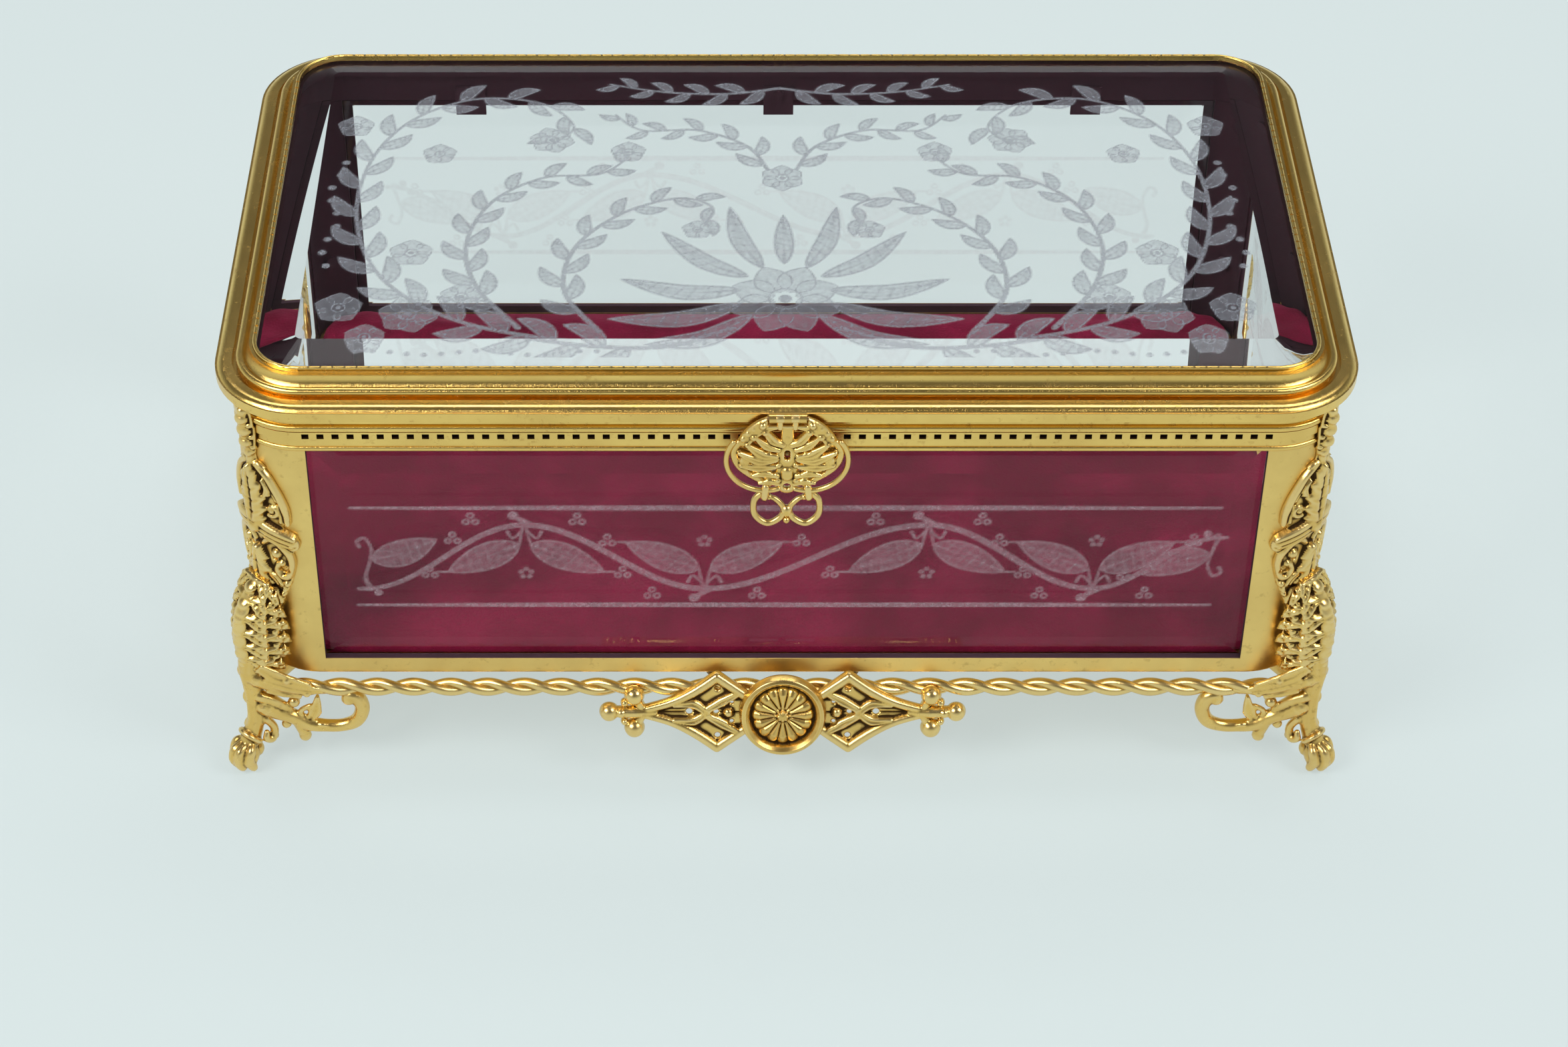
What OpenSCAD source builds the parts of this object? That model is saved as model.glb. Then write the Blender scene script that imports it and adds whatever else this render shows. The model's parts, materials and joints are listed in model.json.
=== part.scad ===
// Glass casket box: a gilt brass frame glazed on five sides with bevelled glass, with a
// hinged glass lid, a hanging hasp, cast corner mounts, cabriole legs and a rope rail.
// Millimetres. +Z is up, the front faces -Y, and the origin is on the floor under the centre.

/* [Body frame] */
// Length of the body over its two side faces
body_l = 297; // [240:1:360]
// Depth of the body over its front and back faces
body_d = 164; // [135:1:200]
// Outside radius of the four upright corners
corner_r = 18; // [15:0.5:20]
// Height of the underside of the lower rail above the floor
rail_z = 32; // [31:0.5:36]
// Height of the lower rail's face
lower_rail_h = 5.6; // [5:0.1:8]
// Height of the glazed openings between the two rails
opening_h = 75.4; // [60:0.5:95]
// Height of the upper rail's face, up to the joint with the lid
upper_rail_h = 13.5; // [13.4:0.1:18]
// Width of a post's face beside a glazed opening
post_face = 20; // [18:0.5:26]
// Thickness of the lip that laps in front of the glass
lip_t = 2.2; // [1.6:0.1:2.6]

/* [Body glass] */
// Thickness of a body panel at its flat middle
panel_t = 5; // [4:0.1:6]
// Thickness of a body panel at its edge, below the bevel
panel_edge_t = 3; // [2.4:0.1:3.6]
// Width of the bevel round a body panel
panel_bevel_w = 8; // [4:0.5:14]
// Lap of the frame over the edge of a body panel
glass_lap = 3; // [2.4:0.1:3.6]
// Gap round the edge of a glass panel in its rebate
glass_gap = 0.2; // [0.1:0.05:0.4]
// Play between a panel's faces and the frame
glazing_play = 0.1; // [0.05:0.05:0.2]

/* [Floor] */
// Thickness of the base plate
base_t = 1.6; // [1:0.1:2.5]
// Thickness of the velvet-covered floor pad
pad_t = 7.5; // [5:0.5:12]
// Gap between the floor pad and the walls
pad_gap = 0.6; // [0.4:0.1:1.5]

/* [Lid] */
// How far the lid's rim overhangs the body's faces
lid_overhang = 4.5; // [4.2:0.1:6]
// Height of the lid's outer rim above the joint
rim_h = 3.8; // [3.2:0.1:5]
// Width of the outer rim's rounded top
rim_w = 4.6; // [3.5:0.1:6]
// Width of the dark groove between the outer rim and the inner moulding
quirk_w = 1.2; // [0.8:0.1:1.6]
// Height of the inner moulding's top edge above the joint
moulding_h = 9; // [8.6:0.1:11]
// Width from the lid's outer face to the clear opening of the lid glass
lid_margin = 11.7; // [11.4:0.1:14]
// Thickness of the lid glass at its flat middle
lid_glass_t = 6; // [5:0.1:7]
// Thickness of the lid glass at its edge
lid_edge_t = 3.4; // [2.8:0.1:4]
// Width of the bevel round the lid glass
lid_bevel_w = 10; // [5:0.5:10.5]

/* [Hinges] */
// Distance of each hinge's middle from the centre of the box
hinge_x = 92; // [60:1:110]
// Length of a hinge along its pin
hinge_l = 22; // [16:1:30]
// Outside diameter of a hinge knuckle
knuckle_d = 3.6; // [3:0.1:3.6]
// Diameter of a hinge pin
hinge_pin_d = 1.8; // [1.2:0.1:2]
// Radial running clearance on every pin
pin_gap = 0.05; // [0.03:0.01:0.1]

/* [Hasp] */
// Width of the hasp over its beaded arch
hasp_w = 31; // [26:0.5:36]
// Thickness of the hasp plate
hasp_t = 1.7; // [1.5:0.1:2.2]
// Length of the hasp's hinge barrel
hasp_barrel_l = 10; // [8:0.5:14]
// Width of the pull loop
loop_w = 19.3; // [16:0.1:22]
// Diameter of the pull loop's wire
loop_wire_d = 1.8; // [1.4:0.1:2.2]

/* [Castings] */
// Thickness of a corner mount at its rim
mount_t = 1.6; // [1.2:0.1:2.4]
// Further height of the mount's raised leaves
mount_relief = 1; // [0.6:0.1:1.4]
// Radius of a leg's ball foot
foot_r = 4.9; // [4:0.1:5.6]
// Distance of the foot's centre outside the corner's surface, along the diagonal
foot_splay = 15; // [13.5:0.1:18]
// Diameter of the twisted rope rail
rope_d = 4.6; // [3.6:0.1:5]
// Length of one full twist of the rope
rope_pitch = 20.8; // [14:0.2:30]
// Diameter of the rosette on the apron
rosette_d = 24.6; // [20:0.2:26]
// Lean of the apron from upright
apron_tilt = 18; // [14:1:20]

/* [Hidden] */
$fn = 48;
e = 0.01;                    // overlap used when one shape cuts another

// Heights of the body's joints
sill_z = rail_z + lower_rail_h;             // bottom of the glazed openings
head_z = sill_z + opening_h;                // top of the glazed openings
joint_z = head_z + upper_rail_h;            // where the lid rests

// The frame's section
frame_t = lip_t + panel_edge_t + glazing_play;
flange_w = 4.6;                             // inner flange of the lower rail
flange_t = 1.2;
pad_floor_z = rail_z + flange_t + base_t;
tenon_gap = 0.1;                            // a post's tenon in the rails' rebates
open_l = body_l - 2 * post_face;
open_d = body_d - 2 * post_face;

// The upper rail's mouldings, measured down from the joint
bead_r = 1.1;
bead_z = joint_z - 5.6;
strip_h = 2.8;
strip_t = 0.6;
strip_z = bead_z - bead_r - strip_h;        // underside of the pierced strip
strip_pitch = 4;
strip_hole = [1.9, 1.6];
strip_groove = 1.2;                         // depth of the dark groove behind it
head_roll_r = 0.9;

// The lid
lid_l = body_l + 2 * lid_overhang;
lid_d = body_d + 2 * lid_overhang;
rim_base_t = 2;
glass_top_z = joint_z + moulding_h - 0.8;   // top of the lid glass at its edge
glass_low_z = glass_top_z - lid_edge_t;
bezel_w = 1.2;
bezel_h = 1.8;
bezel_inset = lid_margin - bezel_w;         // outer edge of the bezel and of the glass seat
lid_ledge = lid_margin + 1;
lid_land = bezel_w + 0.2;                   // flat edge of the lid glass, under the bezel
bezel_pitch = 3.2;
// the corners turn far enough for the bevels of the lid glass to meet round them
lid_r = max(corner_r + lid_overhang + 1.5, bezel_inset + glass_gap + lid_land + lid_bevel_w);

// The lid's hinges, tucked under the overhang of the rim
knuckle_r = knuckle_d / 2;
leaf_t = 0.6;
hinge_z = joint_z - leaf_t - 0.2 - knuckle_r;
hinge_y = body_d / 2 + leaf_t + knuckle_r;
lid_knuckle_l = 8;
knuckle_gap = 0.15;

// The hasp, hung from the front of the rim
hasp_knuckle_r = 1.2;
hasp_pin_d = 1;
hasp_axis_y = -(lid_d / 2 + hasp_knuckle_r + 0.6);
hasp_axis_z = joint_z + 2.7;
hasp_knuckles = 5;
hasp_drop = 25;                             // from the pin to the bottom of the pierced plate
slit_drop = 12.4;                           // from the pin to the middle of the slit
stud_d = 1.6;
stud_play = 0.3;
stud_collar_d = 3.4;
stud_reach = 0.8;                           // how far the stud enters the back of the hasp

// The castings
mount_low_z = rail_z + 17.8;
mount_h = head_z + 11 - mount_low_z;
bolt_d = 2;
bolt_gap = 0.1;
nut_r = 2.2;
knee_z = rail_z + 11;
rope_out = 1.2;                             // the rope's axis outside the body's face
rope_z = rail_z - 4.5;
rope_inset = 5.2;                           // the rope's end from the corner of the body
rope_gap = 0.1;                             // between a rope and its sockets
bracket_t = 3;
apron_t = 2.2;
apron_z = rail_z - 9.2;
apron_y = -(body_d / 2 + rope_out + rope_d / 2 + 2.8);
lug_y = apron_y + 3.3;                      // where the apron's lugs start, inside its top edge
rosette_r = rosette_d / 2;
screw_d = 2.2;
head_d = 4.2;

// ---------- helpers ----------

// A rectangle with rounded corners, centred
module rounded(l, d, r) {
    square([l - 2 * r, d], center = true);
    square([l, d - 2 * r], center = true);
    for (x = [-1, 1], y = [-1, 1]) translate([x * (l / 2 - r), y * (d / 2 - r)]) circle(r);
}

// Sweeps a section round a rounded rectangle: x is outwards from the outline, y is up
module swept(l, d, r) {
    for (i = [0:3]) rotate([0, 0, 90 * i]) {
        run = i % 2 == 0 ? d : l;
        out = i % 2 == 0 ? l : d;
        translate([out / 2, run / 2 - r, 0]) rotate([90, 0, 0]) linear_extrude(run - 2 * r)
            children();
    }
    for (x = [-1, 1], y = [-1, 1]) translate([x * (l / 2 - r), y * (d / 2 - r), 0])
        rotate([0, 0, x > 0 ? (y > 0 ? 0 : 270) : (y > 0 ? 90 : 180)])
            rotate_extrude(angle = 90) translate([r, 0]) children();
}

// A smooth closed outline through hand-chosen points
function spline_point(a, b, c, d, t) =
    0.5 * (2 * b + (c - a) * t + (2 * a - 5 * b + 4 * c - d) * t * t
        + (3 * b - a - 3 * c + d) * t * t * t);
function smooth_loop(p, steps) = let (n = len(p)) [
    for (i = [0:n - 1], k = [0:steps - 1])
        spline_point(p[(i + n - 1) % n], p[i], p[(i + 1) % n], p[(i + 2) % n], k / steps)];
function mirrored(p) = concat(p, [for (i = [len(p) - 1:-1:0]) [-p[i][0], p[i][1]]]);

// A flat bar with slightly swollen round ends
module strap(p, q, w) {
    span = q - p;
    translate(p) rotate(atan2(span[1], span[0])) translate([0, -w / 2]) square([norm(span), w]);
    translate(p) circle(0.53 * w);
    translate(q) circle(0.53 * w);
}

// The four corners: local x points out along the diagonal from the corner's own centre
module at_corner(x, y) {
    turn = x > 0 ? (y > 0 ? 45 : 315) : (y > 0 ? 135 : 225);
    translate([x * (body_l / 2 - corner_r), y * (body_d / 2 - corner_r), 0]) rotate([0, 0, turn])
        children();
}

// A place on the outside of a corner: local z points straight out of the surface
module on_corner(u, z, out = 0) {
    rotate([0, 0, asin(u / (corner_r + mount_t))]) translate([corner_r + out, 0, z])
        rotate([0, 90, 0]) children();
}

module screw(len, head_h = 1.2) {
    cylinder(h = head_h, d = head_d);
    translate([0, 0, head_h - e]) cylinder(h = len, d = screw_d);
}

// ---------- body frame ----------

module lower_rail() color("goldenrod") difference() {
    union() {
        swept(body_l, body_d, corner_r) {
            translate([-lip_t, rail_z + 1]) square([lip_t, lower_rail_h - 1]);
            translate([-frame_t, rail_z]) square([frame_t - 1, sill_z - glass_lap - rail_z]);
            translate([-1, rail_z + 1]) circle(1);
            translate([-frame_t - flange_w, rail_z]) square([flange_w + e, flange_t]);
        }
    }
    leg_screw_places() cylinder(h = 3 * lower_rail_h, d = screw_d, center = true);
    apron_screw_places() cylinder(h = 3, d = screw_d, center = true);
    base_screw_places() cylinder(h = 3 * flange_t, d = screw_d + bolt_gap, center = true);
}

module upper_rail() color("goldenrod") difference() {
    swept(body_l, body_d, corner_r) difference() {
        union() {
            translate([-frame_t, head_z]) square([frame_t, upper_rail_h]);
            translate([0, bead_z]) circle(bead_r);
            translate([-0.3, head_z + head_roll_r]) circle(head_roll_r);
        }
        translate([-frame_t - e, head_z - e]) square([frame_t - lip_t + e, glass_lap + e]);
        translate([-strip_groove, strip_z + (strip_h - strip_hole[1]) / 2])
            square([strip_groove + e, strip_hole[1]]);
    }
    stud_place() cylinder(h = 20, d = stud_d, center = true);
    clip_places() rotate([-90, 0, 0]) cylinder(h = 5, d = 1.4, center = true);
}

// The pierced strip under the bead: straight runs cut flat, corners cut by small punches
module gallery_strip() color("gold") difference() {
    swept(body_l, body_d, corner_r) translate([0, strip_z]) square([strip_t, strip_h]);
    for (i = [0:3]) rotate([0, 0, 90 * i]) {
        run = (i % 2 == 0 ? body_d : body_l) - 2 * corner_r;
        out = i % 2 == 0 ? body_l : body_d;
        holes = floor(run / strip_pitch);
        translate([out / 2 - 1, 0, strip_z + strip_h / 2]) rotate([90, 0, 90])
            linear_extrude(3) for (k = [0:holes - 1])
                translate([(k - (holes - 1) / 2) * strip_pitch, 0])
                    square(strip_hole, center = true);
    }
    stud_place() cylinder(h = 8, d = stud_collar_d + 0.2, center = true);
}

// A post: its face stands between the rails and its tenons enter their rebates
module post(x, y) color("goldenrod") difference() {
    intersection() {
        union() {
            translate([0, 0, sill_z]) linear_extrude(opening_h) difference() {
                rounded(body_l, body_d, corner_r);
                rounded(body_l - 2 * frame_t, body_d - 2 * frame_t, corner_r - frame_t);
            }
            translate([0, 0, sill_z - glass_lap + tenon_gap])
                linear_extrude(opening_h + 2 * (glass_lap - tenon_gap)) difference() {
                    inset = lip_t + tenon_gap;
                    rounded(body_l - 2 * inset, body_d - 2 * inset, corner_r - inset);
                    rounded(body_l - 2 * frame_t, body_d - 2 * frame_t, corner_r - frame_t);
                }
        }
        translate([x > 0 ? open_l / 2 : -body_l / 2, y > 0 ? open_d / 2 : -body_d / 2, 0])
            cube([post_face, post_face, joint_z]);
    }
    // rebates for the edges of the two panels
    translate([-open_l / 2 - glass_lap, y > 0 ? body_d / 2 - frame_t - 1 : -body_d / 2 + lip_t, 0])
        cube([open_l + 2 * glass_lap, frame_t - lip_t + 1, joint_z]);
    translate([x > 0 ? body_l / 2 - frame_t - 1 : -body_l / 2 + lip_t, -open_d / 2 - glass_lap, 0])
        cube([frame_t - lip_t + 1, open_d + 2 * glass_lap, joint_z]);
    mount_bolt_places() cylinder(h = 20, d = bolt_d + bolt_gap, center = true);
}

// ---------- glass ----------

// Section of a bevelled plate: flat land, bevel, flat middle
module bevel_section(len, t, edge_t, land, bevel) {
    polygon([[-len / 2, 0], [len / 2, 0], [len / 2, edge_t], [len / 2 - land, edge_t],
        [len / 2 - land - bevel, t], [-len / 2 + land + bevel, t], [-len / 2 + land, edge_t],
        [-len / 2, edge_t]]);
}

// A body panel standing with its bevelled face towards -Y and its back at y = 0
module panel(width) {
    l = width + 2 * (glass_lap - glass_gap);
    h = opening_h + 2 * (glass_lap - glass_gap);
    translate([0, 0, sill_z + opening_h / 2]) intersection() {
        translate([0, 0, -h / 2]) linear_extrude(h) mirror([0, 1, 0])
            bevel_section(l, panel_t, panel_edge_t, glass_lap - glass_gap, panel_bevel_w);
        translate([-l / 2, 0, 0]) rotate(a = 180, v = [1, 0, 1]) linear_extrude(l)
            bevel_section(h, panel_t, panel_edge_t, glass_lap - glass_gap, panel_bevel_w);
    }
}

panel_back = frame_t - glazing_play / 2;     // from the frame's face to a panel's back

module glass_front() color("lightblue", 0.4) translate([0, -body_d / 2 + panel_back, 0])
    panel(open_l);
module glass_back() color("lightblue", 0.4) rotate([0, 0, 180])
    translate([0, -body_d / 2 + panel_back, 0]) panel(open_l);
module glass_side(x) color("lightblue", 0.4) rotate([0, 0, x > 0 ? 90 : -90])
    translate([0, -body_l / 2 + panel_back, 0]) panel(open_d);

// ---------- clips, base and pad ----------

clip_w = 9;
clip_t = 0.8;
clip_low = head_z - 1.6;
clip_screw_z = joint_z - 7.9;                // above the catch stud
clip_top = clip_screw_z + 2.4;

// Each clip's frame: local -Y is outwards, y = 0 on the frame's inner face
module clip_places() {
    for (side = [0, 180], k = [-1, 0, 1]) rotate([0, 0, side])
        translate([k * open_l * 0.36, -body_d / 2 + frame_t, clip_screw_z]) children();
    for (side = [90, 270], k = [-1, 1]) rotate([0, 0, side])
        translate([k * open_d * 0.3, -body_l / 2 + frame_t, clip_screw_z]) children();
}

module panel_clips() color("peru") clip_places() difference() {
    translate([-clip_w / 2, 0, clip_low - clip_screw_z])
        cube([clip_w, clip_t, clip_top - clip_low]);
    rotate([90, 0, 0]) cylinder(h = 5, d = 1.4 + bolt_gap, center = true);
}

module clip_screws() color("darkgoldenrod") clip_places() {
    translate([0, clip_t, 0]) rotate([-90, 0, 0]) cylinder(h = 0.9, d = 3);
    translate([0, clip_t + e, 0]) rotate([90, 0, 0]) cylinder(h = clip_t + 2, d = 1.4);
}

module base_plate() color("goldenrod") difference() {
    inset = frame_t + pad_gap / 2;
    translate([0, 0, rail_z + flange_t]) linear_extrude(base_t)
        rounded(body_l - 2 * inset, body_d - 2 * inset, corner_r - inset);
    base_screw_places() cylinder(h = 20, d = screw_d, center = true);
}

module base_screw_places() {
    y = body_d / 2 - frame_t - flange_w / 2;
    for (x = [-1, 0, 1], s = [-1, 1]) translate([x * open_l * 0.42, s * y, rail_z]) children();
}

module base_screws() color("darkgoldenrod") base_screw_places()
    translate([0, 0, -1]) screw(flange_t + base_t - 0.2, 1);

module velvet_pad() color("crimson") {
    inset = frame_t + pad_gap;
    translate([0, 0, pad_floor_z]) linear_extrude(pad_t)
        rounded(body_l - 2 * inset, body_d - 2 * inset, corner_r - inset);
}

// ---------- corner mounts ----------

// Half the mount's outline: distance from its middle line, and share of its height
mount_half = [
    [2.7, 0], [5.2, 0.07], [8.2, 0.16], [9.4, 0.2], [11.1, 0.26], [11.5, 0.31], [10.4, 0.345],
    [12.6, 0.38], [13.3, 0.415], [12.3, 0.45], [8.6, 0.475], [10.9, 0.51], [11.2, 0.55],
    [9.8, 0.615], [7.9, 0.67], [6.3, 0.715], [2.7, 0.745], [1.7, 0.785], [3, 0.85],
    [3.2, 0.93], [2.4, 1]];
mount_leaf = [[1, 0.49], [5.5, 0.5], [8.6, 0.55], [6.6, 0.64], [3.4, 0.71], [1, 0.76]];
mount_shell = [[1, 0.3], [6.4, 0.33], [10.4, 0.39], [9.6, 0.43], [5, 0.45], [1, 0.44]];
mount_stem = [[2.4, 0.74], [1.6, 0.79], [2.7, 0.85], [2.9, 0.93], [2.1, 0.985]];
mount_foliage = [[1, 0.02], [4, 0.1], [7, 0.18], [8.8, 0.25], [6.2, 0.29], [1, 0.27]];

mount_across = corner_r / 18;               // the outlines are drawn for an 18 mm corner
function mount_points(half, steps) = smooth_loop(
    mirrored([for (p = half) [p[0] * mount_across, mount_low_z + p[1] * mount_h]]), steps);

// A flat outline wrapped on the corner, between two heights above its surface
module wrapped(points, low, high) intersection() {
    translate([0, 0, mount_low_z - 5]) linear_extrude(mount_h + 10) difference() {
        circle(corner_r + high, $fn = 96);
        circle(corner_r + low, $fn = 96);
    }
    rotate([90, 0, 90]) linear_extrude(corner_r + high + 1) polygon(points);
}

mount_bolt_shares = [0.12, 0.8];
module mount_bolt_places() for (x = [-1, 1], y = [-1, 1]) at_corner(x, y)
    for (k = mount_bolt_shares) translate([corner_r, 0, mount_low_z + k * mount_h])
        rotate([0, 90, 0]) children();

module mount(x, y) color("gold") difference() {
    union() {
        at_corner(x, y) {
            wrapped(mount_points(mount_half, 3), 0, mount_t);
            for (part = [mount_leaf, mount_shell, mount_foliage])
                wrapped(mount_points(part, 4), mount_t - 0.3, mount_t + mount_relief);
            for (s = [-1, 1]) {
                on_corner(s * 9.4 * mount_across, mount_low_z + 0.415 * mount_h, mount_t)
                    rotate_extrude() translate([2.2, 0]) circle(0.9, $fn = 24);
                on_corner(s * 8.6 * mount_across, mount_low_z + 0.245 * mount_h, mount_t) sphere(1.5);
                on_corner(s * 8.4 * mount_across, mount_low_z + 0.59 * mount_h, mount_t) sphere(1.2);
                on_corner(s * 9.4 * mount_across, mount_low_z + 0.415 * mount_h, mount_t) sphere(1);
            }
            on_corner(0, mount_low_z + 0.47 * mount_h, mount_t) sphere(2);
            on_corner(0, mount_low_z + 0.94 * mount_h, mount_t) sphere(1.6);
            translate([corner_r + mount_t + mount_relief * 0.4, 0, mount_low_z + 0.02 * mount_h])
                cylinder(h = 0.9 * mount_h, r = 1.3);
            wrapped(mount_points(mount_stem, 3), mount_t - 0.3, mount_t + mount_relief * 1.3);
        }
    }
    at_corner(x, y) for (s = [-1, 1]) {
        for (hole = [[4.4, 0.235, 1.3], [3.6, 0.165, 1], [5.2, 0.565, 0.9], [6.6, 0.47, 0.8]])
            on_corner(s * hole[0] * mount_across, mount_low_z + hole[1] * mount_h, -2)
                cylinder(h = 9, r = hole[2]);
    }
    at_corner(x, y) {
        translate([0, 0, mount_low_z - 5]) cylinder(h = mount_h + 10, r = corner_r);
        // hollow behind the stem, over the upper rail's mouldings
        translate([0, 0, head_z - 0.1]) cylinder(h = 20, r = corner_r + strip_t + 0.1);
        translate([0, 0, bead_z - bead_r - 0.2]) cylinder(h = 20, r = corner_r + bead_r + 0.1);
    }
    mount_bolt_places() cylinder(h = 2 * mount_t, d = bolt_d + bolt_gap, center = true);
}

// Each bolt is screwed into its mount from inside, with its nut-like head behind the post
module mount_bolts() color("darkgoldenrod") mount_bolt_places() {
    inner = corner_r - frame_t;
    seat = inner - sqrt(inner * inner - nut_r * nut_r) + 0.02;   // the head bears on its rim
    translate([0, 0, -frame_t - seat - 1.2]) cylinder(h = 1.2, r = nut_r);
    translate([0, 0, -frame_t - seat - e]) cylinder(h = frame_t + seat + mount_t - 0.2, d = bolt_d);
}

// ---------- legs ----------

foot_s = corner_r + foot_splay;
// Side view of a leg in the diagonal plane: distance from the corner's centre, and height
leg_side = [
    [corner_r + 0.1, knee_z + 5.6], [corner_r + 3, knee_z + 5], [corner_r + 8.4, knee_z + 2.6],
    [corner_r + 11.4, knee_z - 1.2], [corner_r + 11, knee_z - 7], [corner_r + 9.4, knee_z - 13],
    [corner_r + 9.4, knee_z - 19], [corner_r + 10.8, knee_z - 27], [foot_s - 3.4, foot_r + 6],
    [foot_s, foot_r + 2.6], [foot_s + 1, foot_r], [foot_s - 2, foot_r - 2.2],
    [foot_s - 6.4, foot_r + 1.4], [corner_r + 5.8, foot_r + 8], [corner_r + 4, rail_z - 15],
    [corner_r + 1.8, rail_z - 9], [corner_r - 3, rail_z - 4.4], [corner_r - 8, rail_z - 3],
    [corner_r - 8, rail_z], [corner_r + 0.1, rail_z]];
// Half the leg's width, seen along the diagonal, by height
leg_half = [
    [2.2, foot_r - 3], [2.6, foot_r + 2], [2.5, foot_r + 5], [2.9, foot_r + 11], [3.9, rail_z - 9],
    [5.4, rail_z - 5], [7.2, rail_z - 1.2], [7.6, rail_z + 3], [5.8, rail_z + 8],
    [5, rail_z + 12], [2.8, rail_z + 16.4]];

module leg_shape() {
    intersection() {
        rotate([90, 0, 0]) linear_extrude(24, center = true) difference() {
            polygon(smooth_loop(leg_side, 2));
            translate([-1, rail_z]) square([corner_r + 1.1, 60]);
        }
        rotate([90, 0, 90]) linear_extrude(80) polygon(smooth_loop(mirrored(leg_half), 3));
    }
    // ball foot with its collar
    translate([foot_s, 0, foot_r - 0.3]) sphere(foot_r);
    translate([foot_s - 3.4, 0, foot_r + 3.4]) rotate([0, 40, 0])
        rotate_extrude() translate([2.6, 0]) circle(0.8, $fn = 24);
    // raised rib down the knee
    translate([corner_r + 10.6, 0, knee_z - 1.6]) sphere(1.9);
}

// Scroll bracket beside a leg: x is the distance from the body's corner, y the height
hook = [22.3, rail_z - 14.3];
hook_r = 9;
module bracket_outline() {
    intersection() {
        difference() {
            translate(hook) circle(hook_r);
            translate(hook) circle(hook_r - 3);
        }
        union() {
            translate([hook[0], hook[1] - hook_r - 1]) square([hook_r + 1, 2 * hook_r + 2]);
            translate([12, hook[1] - hook_r - 1]) square([12, 7]);
        }
    }
    translate([hook[0] + 2.6, hook[1] + hook_r - 3.2]) circle(2);
    strap([4.6, rail_z - 13.4], [hook[0] - 5, hook[1] - hook_r + 2.6], 4.4);
    strap([hook[0] - 5, hook[1] - hook_r + 2.2], [hook[0] + 1, hook[1] - hook_r + 1.6], 3.2);
    translate([11.8, rail_z - 22]) circle(2.2);
    strap([12.4, rail_z - 21], [13.4, rail_z - 18], 2.4);
    translate([9.2, rail_z - 9.4]) circle(1.9);
    strap([9, rail_z - 10], [8, rail_z - 13], 2.4);
    polygon([[13, rail_z - 17], [18.4, rail_z - 17.4], [17.8, rail_z - 9.8], [15, rail_z - 12.4]]);
}

module leg(x, y) color("gold") at_corner(x, y) difference() {
    union() {
        leg_shape();
        for (s = [0, 1]) mirror([0, s, 0]) rotate([0, 0, -45])
            translate([corner_r, corner_r + rope_out + bracket_t / 2, 0]) rotate([90, 0, 0])
                mirror([1, 0, 0]) linear_extrude(bracket_t) bracket_outline();
    }
    translate([0, 0, -10]) linear_extrude(10) circle(100);
    // sockets for the ends of the two ropes
    for (s = [0, 1]) mirror([0, s, 0]) rotate([0, 0, -45])
        translate([corner_r - rope_inset + rope_gap, corner_r + rope_out, rope_z])
            rotate([0, -90, 0]) cylinder(h = 40, d = rope_d + 2 * rope_gap);
    translate([corner_r - 4.6, 0, 0]) cylinder(h = rail_z - 3.4, d = head_d + 0.8);
    translate([corner_r - 4.6, 0, 0]) cylinder(h = rail_z + 1, d = screw_d + bolt_gap);
}

module leg_screw_places() for (x = [-1, 1], y = [-1, 1]) at_corner(x, y)
    translate([corner_r - 4.6, 0, rail_z]) children();

module leg_screws() color("darkgoldenrod") leg_screw_places()
    translate([0, 0, -4.6]) screw(4.8, 1.2);

// ---------- rope rail ----------

// Two strands twisted together, lying along X with the middle at the origin: one closed
// surface whose two-lobed section turns as it goes along
rope_sides = 12;
rope_rings = 8;                             // rings in one full twist
rope_waist = 0.42;                          // the section's waist as a share of its lobes

function rope_point(len, ring, rings, side) = let (
        along = ring / rings,
        a = 360 * side / rope_sides,
        turn = 360 * len / rope_pitch * along,
        r = rope_d / 2 * (rope_waist + (1 - rope_waist) * pow(abs(cos(a)), 0.8)))
    [(along - 0.5) * len, r * cos(a + turn), r * sin(a + turn)];

module rope(len) {
    rings = ceil(len / rope_pitch * rope_rings);
    polyhedron(
        points = [for (i = [0:rings], k = [0:rope_sides - 1]) rope_point(len, i, rings, k)],
        faces = concat(
            [[for (k = [0:rope_sides - 1]) k]],
            [[for (k = [rope_sides - 1:-1:0]) rings * rope_sides + k]],
            [for (i = [0:rings - 1], k = [0:rope_sides - 1]) let (
                    a = i * rope_sides + k, b = i * rope_sides + (k + 1) % rope_sides)
                [b, a, a + rope_sides]],
            [for (i = [0:rings - 1], k = [0:rope_sides - 1]) let (
                    a = i * rope_sides + k, b = i * rope_sides + (k + 1) % rope_sides)
                [b, a + rope_sides, b + rope_sides]]));
}

module rope_long(y) color("gold") translate([0, y * (body_d / 2 + rope_out), rope_z])
    rope(body_l - 2 * rope_inset);
module rope_short(x) color("gold") translate([x * (body_l / 2 + rope_out), 0, rope_z])
    rotate([0, 0, 90]) rope(body_d - 2 * rope_inset);

// ---------- apron and rosette ----------

// The apron's plane: x along the rail, y up the leaning face, z out of it
module on_apron() translate([0, apron_y, apron_z]) rotate([90 - apron_tilt, 0, 0]) children();

apex = [19.5, 9.6];
neck_x = 39;
tip_x = 49.6;

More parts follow.
